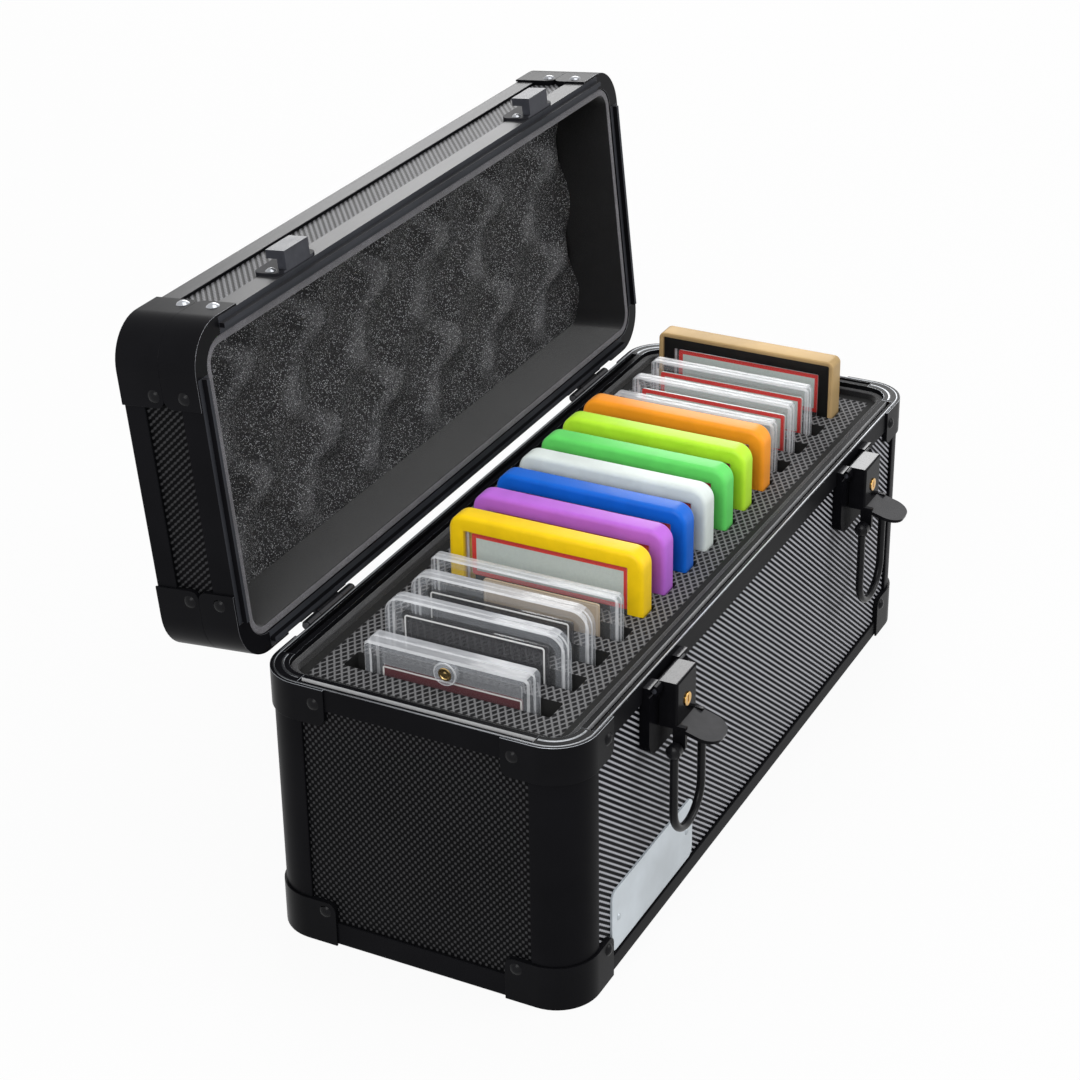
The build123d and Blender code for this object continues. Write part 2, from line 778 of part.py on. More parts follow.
def catch():
    """The hook on the lid front that the loop pulls on, about x = 0, lid closed."""
    front = -half_width
    low = base_height + rim_gap + catch_low
    reach = catch_width / 2
    flange_z = low + catch_flange_height / 2
    flange = Pos(0, front, flange_z) * plate(catch_flange_width, catch_flange_height,
                                             catch_flange_corner, catch_flange_thickness)
    pad_low = base_height + rim_gap + rim_flange
    pad = Pos(0, front + panel_inset, flange_z) * plate(
        catch_flange_width, catch_flange_height, catch_flange_corner, panel_inset)
    pad &= block(-catch_flange_width, catch_flange_width, front, front + panel_inset,
                 pad_low, pad_low + catch_flange_height)
    body = flange + pad
    body += block(-reach, reach, front - catch_flange_thickness, front - catch_reach,
                  low, low + catch_stem)
    body += block(-reach, reach, front - catch_reach + catch_lip, front - catch_reach,
                  low + catch_stem, low + catch_height)
    rivets, holes = [], []
    shank_length = catch_flange_thickness + panel_back
    for side in (-1, 1):
        place = Pos(side * catch_rivet_span / 2, front - catch_flange_thickness,
                    low + catch_rivet_height) * facing("front")
        shank_radius = catch_rivet_radius / 2
        rivets.append(place * rivet(catch_rivet_radius, catch_rivet_head,
                                    shank_radius, shank_length))
        holes.append(place * shank_hole(shank_radius, shank_length + overrun))
    return body - holes, rivets, holes


def handle_bracket(side):
    """One handle bracket on the lid top, with a bored ear, lid closed."""
    x = side * handle_span / 2
    pivot_z = lid_top + handle_pivot_rise
    foot = Pos(x, handle_pivot_y, lid_top) * extrude(
        RectangleRounded(bracket_width, bracket_length, bracket_corner), bracket_foot)
    ear_half = bracket_width / 2
    ear = bar_x(x - ear_half, x + ear_half, handle_pivot_y, pivot_z, bracket_ear_radius)
    ear += block(x - ear_half, x + ear_half, handle_pivot_y - bracket_ear_radius,
                 handle_pivot_y + bracket_ear_radius, lid_top, pivot_z)
    bore = bar_x(x - bracket_width, x + bracket_width, handle_pivot_y, pivot_z,
                 handle_rod_radius + running_gap)
    return foot + ear - bore


def handle_place(solid):
    """Swings a handle piece so that it hangs plumb once the lid is open."""
    pivot = Pos(0, handle_pivot_y, lid_top + handle_pivot_rise)
    return pivot * Rot(lid_open_angle - 90, 0, 0) * solid


def handle_bail():
    """The bent rod of the handle: two pivot ends, two arms and the bar in the grip."""
    inner = handle_span / 2 - bracket_width / 2 - handle_end_gap - handle_rod_radius
    outer = handle_span / 2 + bracket_width / 2
    rod = bar_x(-outer, -inner, 0, 0, handle_rod_radius) + bar_x(inner, outer, 0, 0, handle_rod_radius)
    bend = handle_bend
    path = Line((-inner, 0, 0), (-inner, handle_reach - bend, 0))
    path += RadiusArc((-inner, handle_reach - bend, 0), (-inner + bend, handle_reach, 0), bend)
    path += Line((-inner + bend, handle_reach, 0), (inner - bend, handle_reach, 0))
    path += RadiusArc((inner - bend, handle_reach, 0), (inner, handle_reach - bend, 0), bend)
    path += Line((inner, handle_reach - bend, 0), (inner, 0, 0))
    section = Plane((-inner, 0, 0), z_dir=(0, 1, 0)) * Circle(handle_rod_radius)
    rod += sweep(section, path=path)
    for side in (-1, 1):
        rod += Pos(side * inner, 0, 0) * Sphere(handle_rod_radius)
    return handle_place(rod)


def handle_grip():
    """The grip sleeve on the handle's bar."""
    sleeve = bar_x(-grip_length / 2, grip_length / 2, handle_reach, 0, grip_radius)
    sleeve = fillet(sleeve.edges().filter_by(GeomType.CIRCLE), grip_edge)
    return handle_place(sleeve - bar_x(-grip_length, grip_length, handle_reach, 0,
                                       handle_rod_radius + running_gap))


def on_both(solid, offset):
    """Copies of a piece about x = 0 at minus and plus offset."""
    return [Pos(side * offset, 0, 0) * solid for side in (-1, 1)]


def lid_closed(solid):
    """Turns a half built open side up into the closed lid."""
    return Pos(0, 0, lid_top) * mirror(solid, Plane.XY)


def lid_open(solid):
    """Swings a closed lid piece to the open rest pose."""
    hinge = Pos(0, hinge_y, hinge_z)
    return hinge * Rot(-lid_open_angle, 0, 0) * hinge.inverse() * solid


def solids_of(pieces):
    """The separate solids in a list of pieces."""
    return [solid for piece in pieces for solid in piece.solids()]


def base_nodes():
    """Every node of the base."""
    half = shell(base_height, (base_side_rail, base_end_rail), base_rim_corner,
                 False, base_lining_drop)
    plate_body, plate_rivets, plate_holes = label_plate()
    leaf, leaf_rivets, leaf_holes = hinge_leaf(False)
    front, rear, left, right = half["panels"]
    leaf_cutters = [hole for cutter in leaf_holes for hole in on_both(cutter, hinge_offset)]
    rear = rear - leaf_cutters
    rim_rails = [half["rim_rails"][0], half["rim_rails"][1] - leaf_cutters] + half["rim_rails"][2:]
    rivets = half["rivets"] + plate_rivets
    rivets += [copy for r in leaf_rivets for copy in on_both(r, hinge_offset)]
    latch_left, latch_right = on_both(latch_plate(), latch_offset)
    return {
        "floor_panel": half["closing_panel"],
        "front_panel": [front - plate_holes],
        "rear_panel": [rear],
        "left_panel": [left],
        "right_panel": [right],
        "corner_posts": half["posts"],
        "bottom_rails": half["edge_rails"],
        "bottom_corner_caps": half["caps"],
        "base_rim_rails": rim_rails,
        "base_rim_corners": half["rim_corners"],
        "base_lining": half["lining"],
        "slotted_foam": [slotted_insert()],
        "label_plate": [plate_body],
        "base_rivets": rivets,
        "hinge_base_leaves": on_both(leaf, hinge_offset),
        "hinge_pins": on_both(hinge_pin(), hinge_offset),
        "latch_plate_left": [latch_left],
        "latch_plate_right": [latch_right],
        "latch_pins": on_both(latch_pin(), latch_offset),
    }


def lid_nodes():
    """Every node of the lid and its handle, in the open rest pose."""
    height = lid_height - rim_gap
    half = shell(height, (lid_rail, lid_rail), height - cap_height, True, lid_lining_drop)
    half = {name: [lid_closed(piece) for piece in pieces] for name, pieces in half.items()}
    leaf, leaf_rivets, leaf_holes = hinge_leaf(True)
    hook, hook_rivets, hook_holes = catch()
    front, rear, left, right = half["panels"]
    leaf_cutters = [hole for cutter in leaf_holes for hole in on_both(cutter, hinge_offset)]
    hook_cutters = [hole for cutter in hook_holes for hole in on_both(cutter, latch_offset)]
    rails = half["rim_rails"]
    rim_rails = [rails[0] - hook_cutters, rails[1] - leaf_cutters] + rails[2:]
    rivets = half["rivets"] + [copy for r in leaf_rivets for copy in on_both(r, hinge_offset)]
    rivets += [copy for r in hook_rivets for copy in on_both(r, latch_offset)]
    nodes = {
        "lid_top_panel": half["closing_panel"],
        "lid_front_panel": [front - hook_cutters],
        "lid_rear_panel": [rear - leaf_cutters],
        "lid_left_panel": [left],
        "lid_right_panel": [right],
        "lid_corner_posts": half["posts"],
        "lid_top_rails": half["edge_rails"],
        "lid_corner_caps": half["caps"],
        "lid_rim_rails": rim_rails,
        "lid_rim_corners": half["rim_corners"],
        "lid_lining": half["lining"],
        "egg_crate_foam": [egg_crate()],
        "lid_rivets": rivets,
        "lid_catches": on_both(hook, latch_offset),
        "hinge_lid_leaves": on_both(leaf, hinge_offset),
        "handle_brackets": [handle_bracket(side) for side in (-1, 1)],
        "handle_bail": [handle_bail()],
        "handle_grip": [handle_grip()],
    }
    return {name: [lid_open(piece) for piece in pieces] for name, pieces in nodes.items()}


def latch_nodes():
    """The moving pieces of both latches."""
    nodes = {}
    lever, loop, key, pins = latch_lever(), latch_loop(), key_cylinder(), loop_pin()
    for name, side in (("left", -1), ("right", 1)):
        place = Pos(side * latch_offset, 0, 0)
        nodes[f"latch_lever_{name}"] = [place * lever]
        nodes[f"latch_loop_{name}"] = [place * loop]
        nodes[f"key_cylinder_{name}"] = [place * key]
        nodes[f"loop_pins_{name}"] = [place * pin for pin in pins]
    return nodes


def main():
    """Builds every node and writes one STEP file for each."""
    os.makedirs("parts", exist_ok=True)
    nodes = {**base_nodes(), **lid_nodes(), **latch_nodes(), **card_slabs()}
    for name, pieces in nodes.items():
        solids = solids_of(pieces)
        export_step(Compound(solids), os.path.join("parts", f"{name}.step"))
    print(len(nodes), "nodes")
    print("hinge axis", round(hinge_y, 3), round(hinge_z, 3))
    print("latch axis", round(-half_width - latch_axis_out, 3), round(latch_axis_z, 3))
    print("loop axis", [round(v, 3) for v in loop_axis()])
    print("key axis", [round(v, 3) for v in key_place().position])
    pivot = lid_open(Pos(0, handle_pivot_y, lid_top + handle_pivot_rise) * Sphere(handle_rod_radius))
    print("handle axis", [round(v, 3) for v in pivot.center()])


main()
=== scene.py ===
"""Looks of an open trading card case with a row of upright card holders.

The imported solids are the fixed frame. Every piece here is dressed in that frame,
in metres: +X runs along the case, -Y is the latch side and +Z is up.
"""

from __future__ import annotations

import json
import logging
import math
from dataclasses import dataclass, field, replace
from enum import Enum
from typing import Any, Callable, Sequence

import bmesh
import bpy
from mathutils import Matrix, Vector

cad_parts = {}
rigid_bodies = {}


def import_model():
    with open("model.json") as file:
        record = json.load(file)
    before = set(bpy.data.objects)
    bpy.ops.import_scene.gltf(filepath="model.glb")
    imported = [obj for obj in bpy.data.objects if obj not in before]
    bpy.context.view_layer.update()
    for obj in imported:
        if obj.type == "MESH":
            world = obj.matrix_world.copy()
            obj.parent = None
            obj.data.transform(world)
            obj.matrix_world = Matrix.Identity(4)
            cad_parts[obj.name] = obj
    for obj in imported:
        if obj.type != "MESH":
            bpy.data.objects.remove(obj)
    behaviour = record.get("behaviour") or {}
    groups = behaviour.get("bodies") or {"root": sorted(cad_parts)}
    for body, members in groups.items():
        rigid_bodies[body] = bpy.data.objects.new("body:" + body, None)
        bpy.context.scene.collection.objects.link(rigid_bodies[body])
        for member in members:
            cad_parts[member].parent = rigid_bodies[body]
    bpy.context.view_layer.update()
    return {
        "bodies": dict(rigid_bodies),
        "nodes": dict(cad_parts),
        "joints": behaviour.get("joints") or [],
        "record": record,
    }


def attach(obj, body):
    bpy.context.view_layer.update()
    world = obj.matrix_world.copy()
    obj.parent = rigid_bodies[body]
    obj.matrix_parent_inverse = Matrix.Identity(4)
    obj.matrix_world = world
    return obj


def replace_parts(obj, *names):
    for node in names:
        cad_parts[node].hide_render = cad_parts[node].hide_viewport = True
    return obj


LOG = logging.getLogger("card_case")
MM = 0.001
MM_IN_METRE = 1000.0
EASED = (0.2, 0.97)
SQUARE_ON = 0.9
QUARTER_TURN = math.pi / 2
WHITE = (1.0, 1.0, 1.0)
PLAN_LAYER = "plan"

Color = tuple[float, float, float]
Place = tuple[float, float, float]
Point = tuple[float, float]
Picker = Callable[[Vector, Vector], int]


def eased(share: float) -> bool:
    """Whether a normal's share along an axis is that of an eased edge."""
    return EASED[0] < abs(share) < EASED[1]


def tint(color: Color, factor: float) -> Color:
    """A colour made darker or lighter, up to white."""
    red, green, blue = (min(c * factor, 1.0) for c in color)
    return red, green, blue


class Signal:
    """A number socket in a node graph; arithmetic on it adds Math nodes."""

    def __init__(self, graph: Graph, socket: bpy.types.NodeSocket) -> None:
        """Keep the graph and the socket that carries the number."""
        self.graph = graph
        self.socket = socket

    def math(self, operation: str, *others: Signal | float) -> Signal:
        """Add one Math node.

        Args:
            operation: The Math node's operation.
            others: The second and third operands.

        Returns:
            The node's result.
        """
        sockets = {0: self}
        sockets.update({i + 1: other for i, other in enumerate(others)})
        made = self.graph.node("ShaderNodeMath", {"operation": operation}, sockets)
        return Signal(self.graph, made.outputs[0])

    def reflected(self, operation: str, first: float) -> Signal:
        """Add one Math node with a plain number as its first operand."""
        made = self.graph.node("ShaderNodeMath", {"operation": operation}, {0: first, 1: self})
        return Signal(self.graph, made.outputs[0])

    def __add__(self, other: Signal | float) -> Signal:
        """Sum."""
        return self.math("ADD", other)

    def __radd__(self, other: float) -> Signal:
        """Sum with a number first."""
        return self.reflected("ADD", other)

    def __sub__(self, other: Signal | float) -> Signal:
        """Difference."""
        return self.math("SUBTRACT", other)

    def __rsub__(self, other: float) -> Signal:
        """Difference with a number first."""
        return self.reflected("SUBTRACT", other)

    def __mul__(self, other: Signal | float) -> Signal:
        """Product."""
        return self.math("MULTIPLY", other)

    def __rmul__(self, other: float) -> Signal:
        """Product with a number first."""
        return self.reflected("MULTIPLY", other)

    def __abs__(self) -> Signal:
        """Size without the sign."""
        return self.math("ABSOLUTE")

    def least(self, other: Signal | float) -> Signal:
        """The smaller of two."""
        return self.math("MINIMUM", other)

    def most(self, other: Signal | float) -> Signal:
        """The larger of two."""
        return self.math("MAXIMUM", other)

    def wave(self, period: float) -> Signal:
        """A cosine of this length, from 0 to 1."""
        return (self * (2 * math.pi / period)).math("COSINE") * 0.5 + 0.5

    def step(self, low: float, high: float) -> Signal:
        """A smooth step.

        Args:
            low: Where the step leaves 0.
            high: Where it reaches 1.

        Returns:
            The step, from 0 to 1.
        """
        settings = {"interpolation_type": "SMOOTHSTEP"}
        sockets = {"Value": self, "From Min": low, "From Max": high}
        made = self.graph.node("ShaderNodeMapRange", settings, sockets)
        return Signal(self.graph, made.outputs[0])


class Graph:
    """A material's node tree, with one method that adds nodes to it."""

    def __init__(self, name: str) -> None:
        """Start an empty material.

        Args:
            name: The material's name.
        """
        self.material = bpy.data.materials.new(name)
        self.material.use_nodes = True
        self.tree = self.material.node_tree
        self.tree.nodes.clear()

    def node(self, kind: str, settings: dict[str, Any] | None = None,
             sockets: dict[str | int, Any] | None = None) -> bpy.types.Node:
        """Add a node.

        Args:
            kind: The node's type.
            settings: Its own settings, set first.
            sockets: Values or links for its inputs, by name or number.

        Returns:
            The new node.
        """
        made = self.tree.nodes.new(kind)
        for key, value in (settings or {}).items():
            setattr(made, key, value)
        for key, value in (sockets or {}).items():
            target = made.inputs[key]
            if isinstance(value, Signal):
                self.tree.links.new(value.socket, target)
            elif isinstance(value, bpy.types.NodeSocket):
                self.tree.links.new(value, target)
            elif isinstance(value, tuple) and len(value) == 3 and target.type == "RGBA":
                target.default_value = (*value, 1.0)
            else:
                target.default_value = value
        return made

    def plan(self) -> tuple[Signal, Signal]:
        """Lay a face out flat.

        Returns:
            The two flat coordinates, in millimetres.
        """
        uv = self.node("ShaderNodeUVMap", {"uv_map": PLAN_LAYER})
        parts = self.node("ShaderNodeSeparateXYZ", None, {0: uv.outputs[0]})
        u, v = (Signal(self, parts.outputs[i]) * MM_IN_METRE for i in range(2))
        return u, v

    def place(self) -> bpy.types.NodeSocket:
        """The point in the piece's own frame."""
        return self.node("ShaderNodeTexCoord").outputs["Object"]

    def noise(self, scale: float, detail: float = 2.0, rough: float = 0.5,
              stretch: Place | None = None) -> Signal:
        """Smooth noise.

        Args:
            scale: Features in a metre.
            detail: Octaves.
            rough: Strength of the finer octaves.
            stretch: Optional scale along each axis.

        Returns:
            Noise around one half.
        """
        vector = self.place()
        if stretch is not None:
            scaled = self.node("ShaderNodeVectorMath", {"operation": "MULTIPLY"}, {0: vector, 1: stretch})
            vector = scaled.outputs[0]
        sockets = {"Vector": vector, "Scale": scale, "Detail": detail, "Roughness": rough}
        made = self.node("ShaderNodeTexNoise", None, sockets)
        return Signal(self, made.outputs[0])

    def cells(self, scale: float) -> tuple[Signal, Signal]:
        """Cell noise.

        Args:
            scale: Cells in a metre.

        Returns:
            The distance to the cell's middle and a value per cell.
        """
        made = self.node("ShaderNodeTexVoronoi", None, {"Vector": self.place(), "Scale": scale})
        parts = self.node("ShaderNodeSeparateColor", None, {0: made.outputs["Color"]})
        return Signal(self, made.outputs["Distance"]), Signal(self, parts.outputs[0])

    def mix(self, factor: Signal, first: Color | bpy.types.NodeSocket,
            second: Color | bpy.types.NodeSocket) -> bpy.types.NodeSocket:
        """Mix two colours by a factor from 0 to 1."""
        made = self.node("ShaderNodeMix", {"data_type": "RGBA"}, {0: factor, 6: first, 7: second})
        return made.outputs[2]

    def bump(self, height: Signal, distance: float, strength: float = 1.0) -> bpy.types.NodeSocket:
        """A bumped normal from a height in units of distance, in metres."""
        sockets = {"Height": height, "Distance": distance, "Strength": strength}
        return self.node("ShaderNodeBump", None, sockets).outputs[0]

    def seen_white(self) -> Signal:
        """Tell the rays that show the background.

        Returns:
            One for rays seen, mirrored or seen through glass, and otherwise zero.
        """
        path = self.node("ShaderNodeLightPath")
        seen = Signal(self, path.outputs["Is Camera Ray"])
        for name in ("Is Glossy Ray", "Is Transmission Ray"):
            seen = seen.most(Signal(self, path.outputs[name]))
        return seen

    def surface(self, **sockets: Any) -> bpy.types.Material:
        """Finish the material with a Principled surface.

        Args:
            sockets: Values or links, with underscores for the spaces in their names.

        Returns:
            The finished material.
        """
        named = {key.replace("_", " "): value for key, value in sockets.items()}
        shader = self.node("ShaderNodeBsdfPrincipled", None, named)
        self.node("ShaderNodeOutputMaterial", None, {0: shader.outputs[0]})
        return self.material


class SkyGraph(Graph):
    """The world's node tree."""

    def __init__(self, name: str) -> None:
        """Start an empty world.

        Args:
            name: The world's name.
        """
        self.world = bpy.data.worlds.new(name)
        self.world.use_nodes = True
        self.tree = self.world.node_tree
        self.tree.nodes.clear()


@dataclass(frozen=True)
class SatinMetal:
    """Anodised or painted metal with a faint drawn grain."""

    name: str
    color: Color
    roughness: float = 0.36
    metallic: float = 0.85
    coat: float = 0.15
    grain: float = 0.05
    gloss: float = 0.5

    def material(self) -> bpy.types.Material:
        """Build the material.

        Returns:
            The finished material.
        """
        graph = Graph(self.name)
        drawn = graph.noise(900.0, 3.0, 0.6, (0.04, 1.0, 1.0))
        cloud = graph.noise(14.0, 4.0, 0.6)
        fine = graph.noise(5200.0, 1.0)
        rough = self.roughness + (drawn - 0.5) * self.grain * 2.0 + (cloud - 0.5) * self.grain
        base = graph.mix(cloud.step(0.3, 0.7), tint(self.color, 0.82), tint(self.color, 1.2))
        normal = graph.bump(drawn * 0.6 + fine * 0.4, 0.00002, self.grain * 2.0)
        return graph.surface(Base_Color=base, Roughness=rough, Metallic=self.metallic, Normal=normal,
                             Coat_Weight=self.coat, Coat_Roughness=0.2, Specular_IOR_Level=self.gloss)


@dataclass(frozen=True)
class GrainedBoard:
    """A black wall panel with a fine raised lozenge grain; the pale colour on the lozenges is painted
    highlight.

    Two crossed families of waves make the lozenges; lean is the share of the first
    family, so that 0.5 gives even dots and a share near 0 or 1 gives slanted ribs.
    """

    name: str
    dark: Color
    light: Color
    waves: Point
    lean: float
    low: float = 0.36
    high: float = 0.66
    roughness: float = 0.5
    gloss: float = 0.2
    beads: float = 0.0

    def material(self) -> bpy.types.Material:
        """Build the material.

        Returns:
            The finished material.
        """
        graph = Graph(self.name)
        u, v = graph.plan()
        first = (u * self.waves[0] + v * self.waves[1]).wave(1.0)
        second = (u * self.waves[0] - v * self.waves[1]).wave(1.0)
        lozenge = first * self.lean + second * (1.0 - self.lean)
        cloud = graph.noise(22.0, 3.0, 0.6)
        lit = (lozenge + (cloud - 0.5) * 0.12).step(self.low, self.high)
        bead = (u * self.waves[1] - v * self.waves[0]).wave(0.5)
        lit = lit * (1.0 - bead * self.beads)
        # Painted highlight: the lit lozenge facets take the pale colour over the panel's black.
        base = graph.mix(lit, self.dark, self.light)
        normal = graph.bump(lozenge, 0.0002, 0.6)
        rough = self.roughness + (cloud - 0.5) * 0.12
        return graph.surface(Base_Color=base, Roughness=rough, Normal=normal, Specular_IOR_Level=self.gloss)


@dataclass(frozen=True)
class Felt:
    """Short dense felt glued to the inside of the walls."""

    name: str
    color: Color
    fleck: Color
    roughness: float = 0.95

    def material(self) -> bpy.types.Material:
        """Build the material.

        Returns:
            The finished material.
        """
        graph = Graph(self.name)
        fibre = graph.noise(2600.0, 4.0, 0.75)
        patch = graph.noise(60.0, 3.0, 0.6)
        base = graph.mix((fibre + (patch - 0.5) * 0.3).step(0.45, 0.75), self.color, self.fleck)
        normal = graph.bump(fibre, 0.0003, 0.8)
        return graph.surface(Base_Color=base, Roughness=self.roughness, Normal=normal,
                             Specular_IOR_Level=0.15, Sheen_Weight=0.25, Sheen_Roughness=0.5)


@dataclass(frozen=True)
class WaffleFoam:
    """Closed-cell foam whose top skin is pressed with a diamond waffle; its ridges are painted lighter as
    painted highlight and its pits darker as painted shade.
    """

    name: str
    pit_shade: Color
    ridge: Color
    plain: Color
    half_x: float
    half_y: float
    pitch: float = 3.4
    lean: float = 0.62

    def material(self) -> bpy.types.Material:
        """Build the material.

        Returns:
            The finished material.
        """
        graph = Graph(self.name)
        u, v = graph.plan()
        first = abs((u * self.lean + v) * (1.0 / self.pitch)).math("FRACT")
        second = abs((u * self.lean - v) * (1.0 / self.pitch)).math("FRACT")
        ridge = (abs(first - 0.5)).most(abs(second - 0.5)) * 2.0
        field_mask = (self.half_x - abs(u)).least(self.half_y - abs(v)).step(0.0, 0.8)
        facing = graph.node("ShaderNodeNewGeometry").outputs["True Normal"]
        up = Signal(graph, graph.node("ShaderNodeSeparateXYZ", None, {0: facing}).outputs[2])
        mask = field_mask * up.step(0.6, 0.9)
        speck = graph.noise(1800.0, 3.0, 0.7)
        cloud = graph.noise(45.0, 3.0, 0.6)
        lit = (ridge + (speck - 0.5) * 0.35 + (cloud - 0.5) * 0.25).step(0.52, 0.92)
        # Painted highlight on the ridges, painted shade in the pits.
        pressed = graph.mix(lit, self.pit_shade, self.ridge)
        plain = graph.mix(speck.step(0.35, 0.7), tint(self.plain, 0.7), self.plain)
        base = graph.mix(mask, plain, pressed)
        normal = graph.bump(ridge.step(0.3, 0.95) * mask + speck * 0.12, 0.0006, 0.8)
        return graph.surface(Base_Color=base, Roughness=0.78, Normal=normal, Specular_IOR_Level=0.12)


@dataclass(frozen=True)
class OpenFoam:
    """Charcoal open-cell foam with pores and painted glints.

    Its crest lines, painted highlight standing for the humps' lit flanks, sway from row to row; painted
    shade darkens the hollow beyond each line.
    """

    name: str
    pore_and_shade: Color
    hollow: Color
    crest_highlight: Color
    glint: Color
    first: Point
    pitch: Point
    lean: float = 3.0

    def material(self) -> bpy.types.Material:
        """Build the material.

        Returns:
            The finished material.
        """
        graph = Graph(self.name)
        u, v = graph.plan()
        row = (v - self.first[1]).wave(self.pitch[1]) * 2.0 - 1.0
        sway = (row - 1.0) * (0.25 * self.pitch[0])
        across = u - self.first[0] + self.lean + sway
        along = across.wave(self.pitch[0]) * 2.0 - 1.0
        beyond = (across - 0.27 * self.pitch[0]).wave(self.pitch[0])
        distance, value = graph.cells(2600.0)
        fine, spark = graph.cells(2050.0)
        cloud = graph.noise(60.0, 4.0, 0.65)
        # Painted highlight along the humps' lit flanks.
        crest = (along + (cloud - 0.5) * 0.7).step(0.48, 1.04) * (0.25 + abs(row) * 0.75)
        # Painted shade in the hollow beyond each crest line, mixed towards the pore colour.
        shade = graph.mix(beyond.step(0.3, 1.0) * 0.6, self.hollow, self.pore_and_shade)
        tone = graph.mix(crest, shade, self.crest_highlight)
        cell = (distance + (value - 0.5) * 0.6).step(0.1, 0.8)
        base = graph.mix(cell, self.pore_and_shade, tone)
        # Painted glints: pale specks standing for light caught in the pores.
        glint = spark.step(0.54, 0.95) * (1.0 - fine.step(0.2, 0.55))
        base = graph.mix(glint, base, self.glint)
        normal = graph.bump(distance + fine * 0.7, 0.0005, 0.9)
        return graph.surface(Base_Color=base, Roughness=0.9, Normal=normal, Specular_IOR_Level=0.25)


@dataclass(frozen=True)
class GlossPlate:
    """Black plated or painted hardware with a polished skin."""

    name: str
    color: Color
    roughness: float = 0.2
    metallic: float = 0.6
    coat: float = 0.6
    gloss: float = 0.5

    def material(self) -> bpy.types.Material:
        """Build the material.

        Returns:
            The finished material.
        """
        graph = Graph(self.name)
        smear = graph.noise(160.0, 4.0, 0.6)
        scratch = graph.noise(1500.0, 2.0, 0.5, (1.0, 1.0, 0.12))
        rough = self.roughness + (smear - 0.5) * 0.16 + scratch.step(0.62, 0.8) * 0.06
        base = graph.mix(smear.step(0.3, 0.7), tint(self.color, 0.8), self.color)
        normal = graph.bump(scratch, 0.00002, 0.2)
        return graph.surface(Base_Color=base, Roughness=rough, Metallic=self.metallic, Normal=normal,
                             Coat_Weight=self.coat, Coat_Roughness=0.08, Specular_IOR_Level=self.gloss)


@dataclass(frozen=True)
class ClearPlastic:
    """Clear moulded shell, thin enough to see through."""

    name: str
    color: Color
    alpha: float
    roughness: float = 0.06

    def material(self) -> bpy.types.Material:
        """Build the material.

        Returns:
            The finished material.
        """
        graph = Graph(self.name)
        smear = graph.noise(90.0, 4.0, 0.6)
        streak = graph.noise(420.0, 3.0, 0.6, (1.0, 0.25, 1.0))
        rough = self.roughness + smear.step(0.45, 0.75) * 0.12
        clear = self.alpha * (0.65 + streak * 0.7)
        return graph.surface(Base_Color=self.color, Roughness=rough, Alpha=clear, IOR=1.49,
                             Specular_IOR_Level=1.0)


@dataclass(frozen=True)
class Silicone:
    """Soft coloured bumper rubber with a satin skin."""

    name: str
    color: Color
    roughness: float = 0.42

    def material(self) -> bpy.types.Material:
        """Build the material.

        Returns:
            The finished material.
        """
        graph = Graph(self.name)
        cloud = graph.noise(70.0, 4.0, 0.6)
        skin = graph.noise(3200.0, 2.0, 0.6)
        base = graph.mix(cloud.step(0.35, 0.65), tint(self.color, 0.92), self.color)
        rough = self.roughness + (cloud - 0.5) * 0.14
        normal = graph.bump(skin, 0.00005, 0.35)
        return graph.surface(Base_Color=base, Roughness=rough, Normal=normal, Specular_IOR_Level=0.2,
                             Sheen_Weight=0.08)


@dataclass(frozen=True)
class PrintedSheet:
    """A printed card or label: a plain field inside a coloured border."""

    name: str
    paper: Color
    border: Color
    half_width: float
    half_height: float
    margin: float
    band: float
    blur: float = 0.08

    def material(self) -> bpy.types.Material:
        """Build the material.

        Returns:
            The finished material.
        """
        graph = Graph(self.name)
        u, v = graph.plan()
        inner = (self.half_width - abs(u)).least(self.half_height - abs(v))
        outside, inside = (inner.step(edge - self.blur, edge + self.blur)
                           for edge in (self.margin, self.margin + self.band))
        fibre = graph.noise(900.0, 3.0, 0.6)
        paper = graph.mix(fibre.step(0.3, 0.7), tint(self.paper, 0.93), self.paper)
        base = graph.mix(outside - inside, paper, self.border)
        return graph.surface(Base_Color=base, Roughness=0.38 + (fibre - 0.5) * 0.15, Coat_Weight=0.2)


@dataclass(frozen=True)
class StageFloor:
    """The plain pale floor under the case."""

    name: str
    color: Color
    lift: float

    def material(self) -> bpy.types.Material:
        """Build the material, seen nearly white with the shadow kept.

        Returns:
            The finished material.
        """
        graph = Graph(self.name)
        cloud = graph.noise(3.0, 3.0, 0.5)
        base = graph.mix(cloud.step(0.3, 0.7), tint(self.color, 0.98), self.color)
        lit = graph.node("ShaderNodeBsdfDiffuse", None, {"Color": base})
        glow = graph.node("ShaderNodeEmission", None, {"Color": WHITE, "Strength": 1.0})
        shader = graph.node("ShaderNodeMixShader", None,
                            {0: graph.seen_white() * self.lift, 1: lit.outputs[0], 2: glow.outputs[0]})
        graph.node("ShaderNodeOutputMaterial", None, {0: shader.outputs[0]})
        return graph.material


Finish = (SatinMetal | GrainedBoard | Felt | WaffleFoam | OpenFoam | GlossPlate | ClearPlastic
          | Silicone | PrintedSheet | StageFloor)


class Paintbox:
    """Makes each finish once."""

    def __init__(self) -> None:
        """Start with nothing mixed."""
        self.made: dict[Finish, bpy.types.Material] = {}

    def get(self, finish: Finish) -> bpy.types.Material:
        """Mix a finish, or take it from the box.

        Args:
            finish: The finish.

        Returns:
            Its material.
        """
        if finish not in self.made:
            self.made[finish] = finish.material()
        return self.made[finish]


